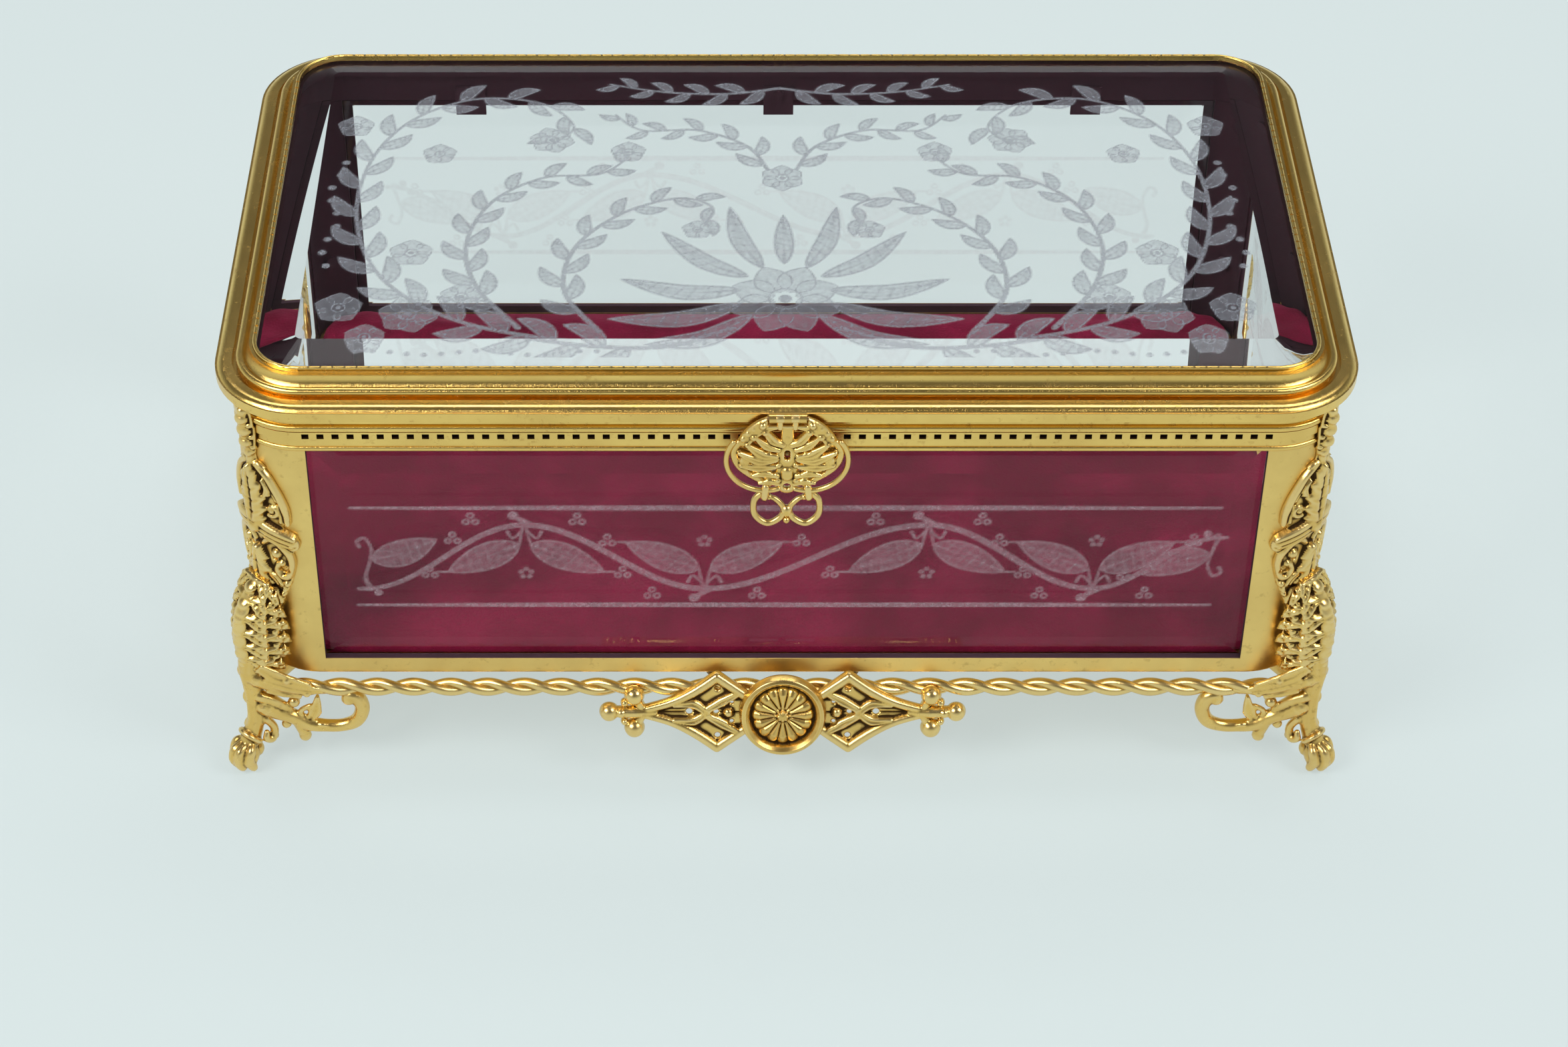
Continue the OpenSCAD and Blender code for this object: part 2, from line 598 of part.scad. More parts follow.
module apron_outline() for (s = [0, 1]) mirror([s, 0]) {
    for (v = [-1, 1]) {
        strap([rosette_r - 1, v * 4.4], [apex[0], v * apex[1]], 3.2);
        strap([apex[0], v * apex[1]], [30, v * 3.6], 3);
        strap([30, v * 3.6], [neck_x, v * 0.4], 2.8);
        strap([15.6, v * 1.4], [22.4, v * 4.4], 1.8);
        strap([22.4, v * 4.4], [31, v * 1], 1.6);
        translate([22.6, v * 4.2]) circle(1.3);
        translate([neck_x + 3.2, v * 4.6]) circle(2.6);
        strap([neck_x, 0], [neck_x + 3.2, v * 4.6], 2);
    }
    strap([rosette_r - 2, 0], [17, 0], 4.4);
    strap([neck_x - 3, 0], [tip_x, 0], 2.6);
    translate([tip_x, 0]) circle(2.6);
}

module apron() color("gold") difference() {
    union() {
        on_apron() {
            linear_extrude(apron_t, center = true) apron_outline();
            cylinder(h = apron_t, r = rosette_r - 1.5, center = true);
            for (s = [-1, 1]) {
                translate([s * tip_x, 0, apron_t / 2]) sphere(2);
                translate([s * 15.6, 0, apron_t / 2]) sphere(1.6);
                for (v = [-1, 1]) translate([s * (neck_x + 3.2), v * 4.6, apron_t / 2]) sphere(2);
            }
        }
        // lugs that carry the apron under the lower rail
        for (s = [-1, 1]) translate([s * apex[0] - 2.5, lug_y, rail_z - 1.4])
            cube([5, lip_t + 4 - body_d / 2 - lug_y, 1.4]);
    }
    apron_screw_places() cylinder(h = 10, d = screw_d + bolt_gap, center = true);
    on_apron() cylinder(h = 4 * apron_t, d = screw_d + bolt_gap, center = true);
}

module apron_screw_places() for (s = [-1, 1])
    translate([s * apex[0], -body_d / 2 + lip_t + 1.4, rail_z]) children();

module apron_screws() color("darkgoldenrod") apron_screw_places()
    translate([0, 0, -2.4]) screw(2.6, 1);

// A boss with a round rim and a dish of petals
petals = 16;
rosette_rim = 1.6;
module rosette() color("gold") on_apron() translate([0, 0, apron_t / 2]) difference() {
    union() {
        cylinder(h = 1.3, r = rosette_r - 0.6);
        rotate_extrude() translate([rosette_r - rosette_rim, 1.3]) circle(rosette_rim);
        for (k = [0:petals - 1]) rotate([0, 0, k * 360 / petals]) translate([2, 0, 1.2])
            rotate([0, 90, 0]) cylinder(h = rosette_r - 4.4, r1 = 0.4, r2 = 1.6, $fn = 24);
        translate([0, 0, 1]) sphere(1.9);
    }
    translate([0, 0, -e]) cylinder(h = 1.4, d = screw_d);
    translate([-20, -20, -10]) cube([40, 40, 10]);
}

module rosette_screw() color("darkgoldenrod") on_apron()
    translate([0, 0, -apron_t / 2 - 1]) screw(apron_t + 1.1, 1);

// ---------- lid ----------

module lid_rim() color("goldenrod") difference() {
    swept(lid_l, lid_d, lid_r) {
        translate([-lid_ledge, joint_z]) square([lid_ledge - 0.3, rim_base_t]);
        difference() {
            translate([-rim_w, joint_z]) square([rim_w, rim_h]);
            // rounded top, falling about 1 mm towards the outside
            difference() {
                translate([-rim_w / 2 - 0.4, joint_z + rim_h - 1.1])
                    square([rim_w / 2 + 0.4 + e, 1.1 + e]);
                translate([-rim_w / 2 - 0.4, joint_z + rim_h - 2.7]) circle(2.7);
            }
        }
    }
    hasp_rivet_places() cylinder(h = 6, d = 1.2, center = true);
}

module lid_moulding() color("gold") swept(lid_l, lid_d, lid_r) {
    outer = rim_w + quirk_w;
    low = joint_z + rim_base_t;
    top = joint_z + moulding_h;
    difference() {
        translate([-lid_ledge, low]) square([lid_ledge - outer, top - low]);
        translate([-bezel_inset, glass_low_z]) mirror([1, 0]) square([9, 9]);
        // cove below the top edge
        translate([-outer, top - 0.7]) circle(3.9);
        translate([-outer - 3.1, top - 0.5]) square([9, 9]);
    }
    translate([-outer - 1.2, low + 2.6]) circle(1.3);
    translate([-bezel_inset, low]) square([bezel_inset - outer, 2.4]);
}

module lid_bezel() color("gold") difference() {
    swept(lid_l, lid_d, lid_r) {
        translate([-lid_margin, glass_top_z]) square([bezel_w - 0.05, bezel_h - bezel_w / 2]);
        translate([-lid_margin + bezel_w / 2 - 0.025, glass_top_z + bezel_h - bezel_w / 2])
            circle(bezel_w / 2 - 0.025);
    }
    for (i = [0:3]) rotate([0, 0, 90 * i]) {
        run = (i % 2 == 0 ? lid_d : lid_l) - 2 * lid_r;
        out = i % 2 == 0 ? lid_l : lid_d;
        notches = floor(run / bezel_pitch);
        translate([out / 2 - lid_margin - 1, 0, glass_top_z + bezel_h]) rotate([90, 0, 90])
            linear_extrude(4) for (k = [0:notches - 1])
                translate([(k - (notches - 1) / 2) * bezel_pitch, 0]) square([0.5, 0.7], center = true);
    }
}

module lid_glass() color("lightblue", 0.4) difference() {
    edge = bezel_inset + glass_gap / 2;
    translate([0, 0, glass_low_z]) linear_extrude(lid_glass_t)
        rounded(lid_l - 2 * edge, lid_d - 2 * edge, lid_r - edge);
    translate([0, 0, glass_low_z]) swept(lid_l - 2 * edge, lid_d - 2 * edge, lid_r - edge)
        polygon([[1, lid_edge_t], [-lid_land, lid_edge_t], [-lid_land - lid_bevel_w, lid_glass_t],
            [-lid_land - lid_bevel_w, lid_glass_t + 1], [1, lid_glass_t + 1]]);
}

// ---------- lid hinges ----------

module at_hinges() for (s = [-1, 1]) translate([s * hinge_x, hinge_y, hinge_z]) children();

module barrel(length, radius, bore) rotate([0, 90, 0]) difference() {
    cylinder(h = length, r = radius, center = true);
    cylinder(h = length + 1, d = bore, center = true);
}

module hinge_body_leaves() color("goldenrod") at_hinges() difference() {
    side_l = (hinge_l - lid_knuckle_l) / 2 - knuckle_gap;
    union() {
        for (s = [-1, 1]) translate([s * (hinge_l - side_l) / 2, 0, 0])
            barrel(side_l, knuckle_r, hinge_pin_d + 2 * pin_gap);
        translate([-hinge_l / 2, -knuckle_r - leaf_t, -knuckle_r])
            cube([hinge_l, leaf_t, 2 * knuckle_r + 0.5]);
        for (s = [-1, 1]) translate([s * (hinge_l - side_l) / 2 - side_l / 2, -knuckle_r - e, -1])
            cube([side_l, knuckle_r - hinge_pin_d / 2 - pin_gap - 0.2, 2]);
    }
}

module hinge_lid_leaves() color("goldenrod") at_hinges() {
    lift = knuckle_r + 0.2;
    barrel(lid_knuckle_l, knuckle_r, hinge_pin_d + 2 * pin_gap);
    translate([-hinge_l / 2, -1.2, lift]) cube([hinge_l, 3, leaf_t]);
    translate([-lid_knuckle_l / 2, -1, hinge_pin_d / 2 + pin_gap + 0.2])
        cube([lid_knuckle_l, 2, lift - hinge_pin_d / 2 - pin_gap]);
}

module hinge_pins() color("darkgoldenrod") at_hinges() {
    rotate([0, 90, 0]) cylinder(h = hinge_l, d = hinge_pin_d, center = true);
    for (s = [-1, 1]) translate([s * (hinge_l / 2 + 0.35), 0, 0]) rotate([0, 90, 0])
        cylinder(h = 0.7, r = knuckle_r * 0.8, center = true);
}

// ---------- hasp ----------

// The hasp's frame: x across, y up, z out of the front, origin on the pin
module at_hasp() translate([0, hasp_axis_y, hasp_axis_z]) rotate([90, 0, 0]) children();

knuckle_l = hasp_barrel_l / hasp_knuckles;
module hasp_knuckle(k) translate([(k - (hasp_knuckles - 1) / 2) * knuckle_l, 0, 0])
    rotate([0, 90, 0]) difference() {
        cylinder(h = knuckle_l - knuckle_gap, r = hasp_knuckle_r, center = true);
        cylinder(h = knuckle_l + 1, d = hasp_pin_d + 2 * pin_gap, center = true);
    }

module hasp_rivet_places() for (s = [-1, 1])
    translate([s * 3.6, -lid_d / 2, joint_z + 1.3]) rotate([90, 0, 0]) children();

module hasp_bracket() color("goldenrod") {
    stand = -hasp_axis_y - lid_d / 2;
    at_hasp() for (k = [0:2:hasp_knuckles - 1]) {
        hasp_knuckle(k);
        translate([(k - (hasp_knuckles - 1) / 2) * knuckle_l - (knuckle_l - knuckle_gap) / 2,
            -0.5, -stand]) cube([knuckle_l - knuckle_gap, 1, stand - hasp_pin_d / 2 - pin_gap - 0.1]);
    }
    translate([-hasp_barrel_l / 2, -lid_d / 2 - 0.5, joint_z + 0.4])
        cube([hasp_barrel_l, 0.5, hasp_axis_z - joint_z + 0.1]);
    hasp_rivet_places() {
        translate([0, 0, 0.3]) sphere(0.7);
        translate([0, 0, -1.6]) cylinder(h = 2, d = 1.1);
    }
}

module hasp_pin() color("darkgoldenrod") at_hasp() rotate([0, 90, 0])
    cylinder(h = hasp_barrel_l + 0.8, d = hasp_pin_d, center = true);

arch_r = hasp_w / 2;
scroll_r = 10.4;                            // radius of the wire scrolls
arch_y = -arch_r * 0.5;                     // centre of the arch below the pin
module arch_band(outer, inner) intersection() {
    difference() {
        translate([0, 1 - outer]) circle(outer);
        translate([0, 1 - outer]) circle(inner);
    }
    translate([-20, arch_y - 1]) square([40, 20]);
}

// Flat pattern of the pierced hasp
module hasp_outline() difference() {
    union() {
        arch_band(arch_r, arch_r - 4);
        // central stem, boss and foot
        strap([0, -1.4], [0, -hasp_drop + 1.6], 5);
        translate([0, -slit_drop]) circle(3.6);
        translate([0, -18.6]) circle(3.4);
        translate([0, -hasp_drop + 2.2]) circle(3);
        for (s = [-1, 1]) {
            // fleur and side leaves
            strap([s * 1.5, -9], [s * 6.6, -5.4], 2.4);
            translate([s * 7, -7.4]) circle(2.3);
            strap([s * 3, -13.6], [s * 11.4, -9], 3);
            translate([s * 10.6, -14.6]) circle(3.6);
            strap([s * 13.2, -8.6], [s * 12.4, -16.6], 2.6);
            strap([s * 12.4, -16.6], [s * 5, -22], 2.6);
            strap([s * 3, -20], [s * 7, -17.4], 2.2);
            strap([s * 2, -23.4], [s * 6.4, -22], 2.2);
        }
    }
    translate([-10, -1.9]) square([20, 2 * 1.9]);
    strap([0, -slit_drop + 1.2], [0, -slit_drop - 0.8], 1.2);
    translate([0, -hasp_drop + 2.2]) circle(0.9);
}

// The pull loop: two eyes of wire with a bud between them, leaning outwards
module pull_loop() {
    half = loop_w / 2;
    wire = loop_wire_d / 2;
    translate([0, -hasp_drop - 4.5, 0.4]) rotate([-14, 0, 0]) {
        for (s = [-1, 1]) translate([s * (half - 4.6), -1.4, 0]) rotate_extrude()
            translate([4.6 - wire, 0]) circle(wire, $fn = 24);
        translate([0, -1.8, 0]) sphere(1.9);
        translate([0, -4, 0]) sphere(1);
    }
    for (s = [-1, 1]) translate([s * 5.6, -hasp_drop + 0.2, -0.2]) cube([2.4, 5.2, 1.5], center = true);
}

module hasp() color("gold") at_hasp() difference() {
    union() {
        translate([0, 0, -hasp_t / 2]) linear_extrude(hasp_t) hasp_outline();
        for (k = [1:2:hasp_knuckles - 1]) {
            hasp_knuckle(k);
            translate([(k - (hasp_knuckles - 1) / 2) * knuckle_l - (knuckle_l - knuckle_gap) / 2,
                -2.4, -hasp_t / 2]) cube([knuckle_l - knuckle_gap,
                    2.4 - hasp_pin_d / 2 - pin_gap - 0.2, hasp_t]);
        }
        // beads along the arch
        for (a = [25:10:155]) if (abs(a - 90) > 22) translate([0, 1 - arch_r, hasp_t / 2])
            rotate(a) translate([arch_r - 1.4, 0]) sphere(1);
        // a wire scroll round each side, from the arch's end to the foot
        for (s = [0, 1]) mirror([s, 0, 0]) translate([hasp_w / 2 + 0.7 - scroll_r, -14.1, 0])
            rotate([0, 0, -110]) {
                rotate_extrude(angle = 146) translate([scroll_r, 0]) circle(0.7, $fn = 24);
                for (a = [0, 146]) rotate([0, 0, a]) translate([scroll_r, 0, 0]) sphere(1);
            }
        translate([0, -18.6, hasp_t / 2]) sphere(1.6);
        for (s = [-1, 1]) translate([s * 10.6, -14.6, hasp_t / 2 - 0.8]) sphere(2);
        pull_loop();
    }
    // blind groove in the back, in which the catch stud slides
    translate([-stud_d / 2 - stud_play, -hasp_drop - 3, -6])
        cube([stud_d + 2 * stud_play, hasp_drop - slit_drop + 4.6,
            6 - hasp_t / 2 + stud_reach + stud_play]);
}

module stud_place() translate([0, -body_d / 2, hasp_axis_z - slit_drop]) rotate([90, 0, 0])
    children();

module catch_stud() color("darkgoldenrod") stud_place() {
    length = -hasp_axis_y - body_d / 2 - hasp_t / 2 + stud_reach;
    translate([0, 0, -frame_t + 1]) cylinder(h = length + frame_t - 1 - stud_d / 2, d = stud_d);
    translate([0, 0, length - stud_d / 2]) sphere(d = stud_d);
    cylinder(h = 1.2, d = stud_collar_d);
}

lower_rail();
upper_rail();
gallery_strip();
post(-1, -1);  // post_front_left
post(1, -1);  // post_front_right
post(-1, 1);  // post_back_left
post(1, 1);  // post_back_right
glass_front();
glass_back();
glass_side(-1);  // glass_left
glass_side(1);  // glass_right
panel_clips();
clip_screws();
base_plate();
base_screws();
velvet_pad();
mount(-1, -1);  // mount_front_left
mount(1, -1);  // mount_front_right
mount(-1, 1);  // mount_back_left
mount(1, 1);  // mount_back_right
mount_bolts();
leg(-1, -1);  // leg_front_left
leg(1, -1);  // leg_front_right
leg(-1, 1);  // leg_back_left
leg(1, 1);  // leg_back_right
leg_screws();
rope_long(-1);  // rope_front
rope_long(1);  // rope_back
rope_short(-1);  // rope_left
rope_short(1);  // rope_right
apron();
rosette();
rosette_screw();
apron_screws();
catch_stud();
hinge_body_leaves();
hinge_lid_leaves();
hinge_pins();
lid_rim();
lid_moulding();
lid_bezel();
lid_glass();
hasp_bracket();
hasp_pin();
hasp();
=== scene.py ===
# %% [markdown]
# A gilt brass casket with bevelled glass walls and a hinged glass lid stands on four cast
# legs. Its rails, panels, screws and hinges come ready made as the fixed frame. This script
# gives them their finishes, and makes what a drawing office leaves to the craftsmen: the
# cast foliage, the twisted rope, the velvet floor pad and the decoration that is cut into
# the glass. Lengths are in millimetres while a piece is made, and in metres once it is an
# object.

# %% The frame and the helpers that everything uses
import json
import math

import bmesh
import bpy
import numpy as np
from mathutils import Matrix, Vector


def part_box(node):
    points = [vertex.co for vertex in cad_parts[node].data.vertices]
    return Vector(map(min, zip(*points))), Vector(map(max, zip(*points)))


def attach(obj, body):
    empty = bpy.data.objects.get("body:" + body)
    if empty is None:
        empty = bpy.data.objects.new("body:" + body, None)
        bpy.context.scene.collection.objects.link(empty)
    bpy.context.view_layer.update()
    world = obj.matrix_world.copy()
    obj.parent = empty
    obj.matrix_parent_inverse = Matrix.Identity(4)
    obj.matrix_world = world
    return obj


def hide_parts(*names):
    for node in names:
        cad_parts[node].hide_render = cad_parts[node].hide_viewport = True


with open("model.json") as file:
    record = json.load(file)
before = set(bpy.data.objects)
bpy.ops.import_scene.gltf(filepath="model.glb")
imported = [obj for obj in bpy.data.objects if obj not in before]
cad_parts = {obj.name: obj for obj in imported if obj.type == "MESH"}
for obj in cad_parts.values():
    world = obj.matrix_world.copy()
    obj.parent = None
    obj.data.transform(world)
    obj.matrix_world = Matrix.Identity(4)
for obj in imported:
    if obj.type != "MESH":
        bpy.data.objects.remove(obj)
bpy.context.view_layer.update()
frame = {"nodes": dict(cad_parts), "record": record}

MM = 0.001                          # a millimetre in the frame's metres
nodes = frame["nodes"]
print("nodes in the frame:", len(nodes))

# %% [markdown]
# The camera looks down on the front of the casket from a little to the left of its middle.
# A long lens keeps the uprights nearly parallel. It is set by numbers and not aimed by
# hand, so that the same view comes back at every run. The shift slides the picture
# sideways without turning the camera, as the rising front of a view camera does.

# %% Camera
LOOK_DOWN = math.radians(40.57)
camera_data = bpy.data.cameras.new("camera")
camera_data.lens = 77.86
camera_data.sensor_width = 36
camera_data.shift_x = 0.0449
camera_data.clip_start = 0.01
camera_data.clip_end = 20
camera = bpy.data.objects.new("camera", camera_data)
camera.location = (-0.0195, -0.7814, 0.6864)
camera.rotation_euler = (math.pi / 2 - LOOK_DOWN, 0, 0)
bpy.context.scene.collection.objects.link(camera)
bpy.context.scene.camera = camera
bpy.context.scene.view_settings.view_transform = "Standard"
print("camera looks down by", round(math.degrees(LOOK_DOWN), 1), "degrees")

# %% [markdown]
# A finish is a net of nodes, and most of that net is sums: more of this tone where that
# noise is high. The nodes could be placed one by one, but a page of such lines hides the
# recipe. Here one class stands for a socket and takes part in sums, and each sum adds its
# own node, so that a finish reads like the rule a gilder would give.

# %% A small kit for shader maths
class Wire:
    """One output socket, with arithmetic that adds Math nodes to its material."""

    def __init__(self, kit, socket):
        self.kit, self.socket = kit, socket

    def _do(self, operation, a, b=None):
        return self.kit.node("Math", {"operation": operation}, {0: a, 1: b})

    def __add__(self, other): return self._do("ADD", self, other)
    def __radd__(self, other): return self._do("ADD", other, self)
    def __sub__(self, other): return self._do("SUBTRACT", self, other)
    def __rsub__(self, other): return self._do("SUBTRACT", other, self)
    def __mul__(self, other): return self._do("MULTIPLY", self, other)
    def __rmul__(self, other): return self._do("MULTIPLY", other, self)
    def __pow__(self, other): return self._do("POWER", self, other)
    def __abs__(self): return self._do("ABSOLUTE", self)


class Finish:
    """A material, or the world, being built from nodes."""

    def __init__(self, name, world=None):
        self.made = world or bpy.data.materials.new(name)
        self.made.use_nodes = True
        self.tree = self.made.node_tree
        self.tree.nodes.clear()

    def feed(self, socket, value):
        """Links or sets one socket; a colour may come without its alpha."""
        if isinstance(value, Wire):
            self.tree.links.new(value.socket, socket)
        elif socket.type == "RGBA" and len(value) == 3:
            socket.default_value = (*value, 1)
        else:
            socket.default_value = value

    def node(self, kind, settings=None, inputs=None, output=0):
        """Adds a node, sets its settings first and then its sockets, and returns an output."""
        n = self.tree.nodes.new("ShaderNode" + kind)
        for key, value in (settings or {}).items():
            setattr(n, key, value)
        for key, value in (inputs or {}).items():
            if value is not None:
                self.feed(n.inputs[key], value)
        return Wire(self, n.outputs[output])

    def place(self):
        """The place of a point of the surface, in metres."""
        return self.node("TexCoord", output="Object")

    def noise(self, scale, detail, roughness, stretch=None):
        where = self.place()
        if stretch:
            where = self.node("Mapping", {}, {"Vector": where, "Scale": stretch})
        return self.node("TexNoise", {}, {"Vector": where, "Scale": scale, "Detail": detail,
                                          "Roughness": roughness})

    def fit(self, value, low, high, to_low=0.0, to_high=1.0):
        """Stretches the span from low to high over another one, and stops at its ends."""
        return self.node("MapRange", {"clamp": True},
                         {"Value": value, "From Min": low, "From Max": high,
                          "To Min": to_low, "To Max": to_high})

    def mix(self, factor, a, b):
        n = self.tree.nodes.new("ShaderNodeMix")
        n.data_type = "RGBA"
        for key, value in (("Factor", factor), ("A", a), ("B", b)):
            self.feed(next(s for s in n.inputs if s.name == key and s.enabled), value)
        return Wire(self, next(s for s in n.outputs if s.enabled))

    def bump(self, height, depth):
        """Roughens the light on a surface by a height, scaled to a depth in metres."""
        return self.node("Bump", {}, {"Height": height, "Distance": depth})

    def surface(self, shader):
        out = self.tree.nodes.new("ShaderNodeOutput" + (
            "World" if isinstance(self.made, bpy.types.World) else "Material"))
        self.tree.links.new(shader.socket, out.inputs["Surface"])
        return self.made


def dress(piece, material):
    """Puts one material on every slot of a piece."""
    if not piece.data.materials:
        piece.data.materials.append(material)
    for i in range(len(piece.data.materials)):
        piece.data.materials[i] = material
    return piece

# %% [markdown]
# Glass and polished gilding are mostly seen by what they mirror, so the room matters as
# much as the lamps. Big soft lamps stand high on both sides. The pale backdrop is a
# colour of the floor and the world for rays from the camera and for rays that come off
# metal or through glass. Every other ray meets a plainer room, so the backdrop adds no
# light of its own to the velvet. What metal mirrors from above is a dim ceiling with the
# lamps in it, which gives gilding its strong lights and darks.

# %% Room
BACKDROP = (0.672, 0.761, 0.761)


def ray(kit, kind):
    return kit.node("LightPath", output="Is %s Ray" % kind)


def seen_directly(kit):
    """1 for rays from the camera, off metal or through glass, and 0 for the rest."""
    rays = [ray(kit, kind) for kind in ("Camera", "Glossy", "Transmission")]
    either = kit.node("Math", {"operation": "MAXIMUM"}, {0: rays[0], 1: rays[1]})
    return kit.node("Math", {"operation": "MAXIMUM"}, {0: either, 1: rays[2]})


world = bpy.data.worlds.new("room")
bpy.context.scene.world = world
room = Finish("room", world)
plain = room.node("Background", {}, {"Color": (0.60, 0.62, 0.63), "Strength": 0.55})
height = room.node("SeparateXYZ", {}, {"Vector": room.node("TexCoord", output="Generated")},
                   output="Z")
wall = room.mix(room.fit(height, 0.08, 0.5), BACKDROP, (0.10, 0.10, 0.10))
walls = room.node("Background", {}, {"Color": wall, "Strength": 1.0})
shown = room.node("Background", {}, {"Color": BACKDROP, "Strength": 1.0})
mirrored = ray(room, "Glossy")
room.surface(room.node("MixShader", {}, {
    0: mirrored, 1: room.node("MixShader", {}, {0: seen_directly(room), 1: plain, 2: shown}),
    2: walls}))

# %% Floor
floor_kit = Finish("backdrop_paper")
paper = floor_kit.node("BsdfDiffuse", {}, {"Color": BACKDROP})
glow = floor_kit.node("Emission", {}, {"Color": BACKDROP, "Strength": 1.0})
half = seen_directly(floor_kit) * 0.72
floor_kit.surface(floor_kit.node("MixShader", {}, {0: half, 1: paper, 2: glow}))

floor_mesh = bpy.data.meshes.new("floor")
SPREAD = 4.0
floor_mesh.from_pydata([(-SPREAD, -SPREAD, 0), (SPREAD, -SPREAD, 0),
                        (SPREAD, SPREAD, 0), (-SPREAD, SPREAD, 0)], [], [(0, 1, 2, 3)])
floor = bpy.data.objects.new("floor", floor_mesh)
bpy.context.scene.collection.objects.link(floor)
dress(floor, floor_kit.made)

# %% Lamps
ON_CASKET = (0, 0, 0.08)            # the middle of the walls


def lamp(name, place, size, power, aim=ON_CASKET, colour=(1, 1, 1)):
    """A rectangular lamp that looks at a point."""
    data = bpy.data.lights.new(name, "AREA")
    data.shape, data.size, data.size_y = "RECTANGLE", size[0], size[1]
    data.energy, data.color = power, colour
    made = bpy.data.objects.new(name, data)
    made.location = place
    made.rotation_euler = (Vector(aim) - Vector(place)).to_track_quat("-Z", "Y").to_euler()
    bpy.context.scene.collection.objects.link(made)


lamp("lamp_left", (-0.9, -0.7, 1.1), (0.7, 0.5), 12, colour=(1.0, 0.98, 0.95))
lamp("lamp_right", (1.0, -0.5, 1.2), (0.6, 0.6), 9)
lamp("lamp_back", (0.05, 0.62, 1.45), (1.3, 0.45), 8, aim=(0, 0, 0.1))

# %% [markdown]
# The glass is clear plate with ground and polished bevels. Its planes are already exact,
# so only the finish is added. It is made of two shaders, one that bends light and one that
# mirrors a little of it, so that the mirror's share can be kept low: old cabinet glass in a
# soft light shows its contents and hardly any glare. The panes cast no shadow, which lets
# the lamps reach the velvet through them as they do in a bright room.

# %% Clear glass
kit = Finish("clear_glass")
through_it = kit.node("BsdfRefraction", {}, {"Color": (0.985, 0.99, 0.99), "Roughness": 0.0,
                                             "IOR": 1.5})
off_it = kit.node("BsdfGlossy", {}, {"Color": (1, 1, 1), "Roughness": 0.02})
share = kit.node("Fresnel", {}, {"IOR": 1.5}) * 0.3
kit.surface(kit.node("MixShader", {}, {0: share, 1: through_it, 2: off_it}))
clear_glass = kit.made
for name in ("glass_front", "glass_back", "glass_left", "glass_right", "lid_glass"):
    dress(nodes[name], clear_glass)
    nodes[name].visible_shadow = False

# %% [markdown]
# The faces that look into the casket, and the edges of the openings that hold the glass,
# are painted nearly black. Inside the walls that is painted shade, and in the reveals it is
# painted shade with some dirt. They belong to the same pieces as the bright faces, so a
# second material would need the pieces cut up. The tone follows the place instead: a point
# is dark where it lies inside the walls, and the limit runs round the corners as the walls do.

# %% Where painted shade darkens the metal
CORNER_R, HALF_L, HALF_D = 18.0, 148.5, 82.0    # the body, in millimetres like what follows
WALL = 4.3                          # from the outer face of a wall to its inner one
BRIGHT_EDGE = 0.35                  # how far the lit outer face reaches round an edge before the painted shade


def below(kit, value, limit):
    """1 where the value is less than the limit, with a soft step, and 0 elsewhere."""
    return kit.fit(value, limit, limit + 0.3 * MM, 1, 0)


def larger(kit, a, b):
    return kit.node("Math", {"operation": "MAXIMUM"}, {0: a, 1: b})


def painted_inner_shade(kit):
    """1 where painted shade darkens the metal: between the walls up to the lid glass, and in the
    reveals of the glazed openings.
    """
    where = kit.node("SeparateXYZ", {}, {"Vector": kit.place()}).socket.node
    x, y, z = (Wire(kit, where.outputs[axis]) for axis in "XYZ")
    # how far out a point lies, on the scale of the round corners
    across = larger(kit, abs(x) - (HALF_L - CORNER_R) * MM, 0.0)
    deep = larger(kit, abs(y) - (HALF_D - CORNER_R) * MM, 0.0)
    out = (across ** 2 + deep ** 2) ** 0.5
    between = (below(kit, out, (CORNER_R - WALL) * MM)
               * below(kit, z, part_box("lid_glass")[0].z))
    behind = (below(kit, out, (CORNER_R - BRIGHT_EDGE) * MM)
              * below(kit, z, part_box("upper_rail")[1].z - BRIGHT_EDGE * MM))
    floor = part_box("velvet_pad")[0].z
    above_floor = kit.fit(z, floor, floor + 0.2 * MM)
    return above_floor * larger(kit, between, behind)

# %% [markdown]
# All the metal is gilt brass, but its parts were finished in different ways. The posts and
# the outer rim are brushed to a satin and the mouldings are polished. The castings are
# painted dark in their hollows, for dirt and for painted shade, and pale on their high
# places, for wear and for a painted highlight. One plain gold would look like plastic, and
# four separate recipes would drift apart, so one recipe makes them all: a gold whose tone
# drifts a little in clouds, small dark freckles where the gilding has gone, and a fine grain
# for the bump.

# %% Gilt finishes
# nearly black: painted shade inside the casket, and painted shade with some dirt in the reveals
INNER_SHADE_TONE = (0.085, 0.045, 0.060)
WORN_AND_LIT = (0.93, 0.72, 0.34)           # high places: rubbed by hands and cloths, with a painted highlight


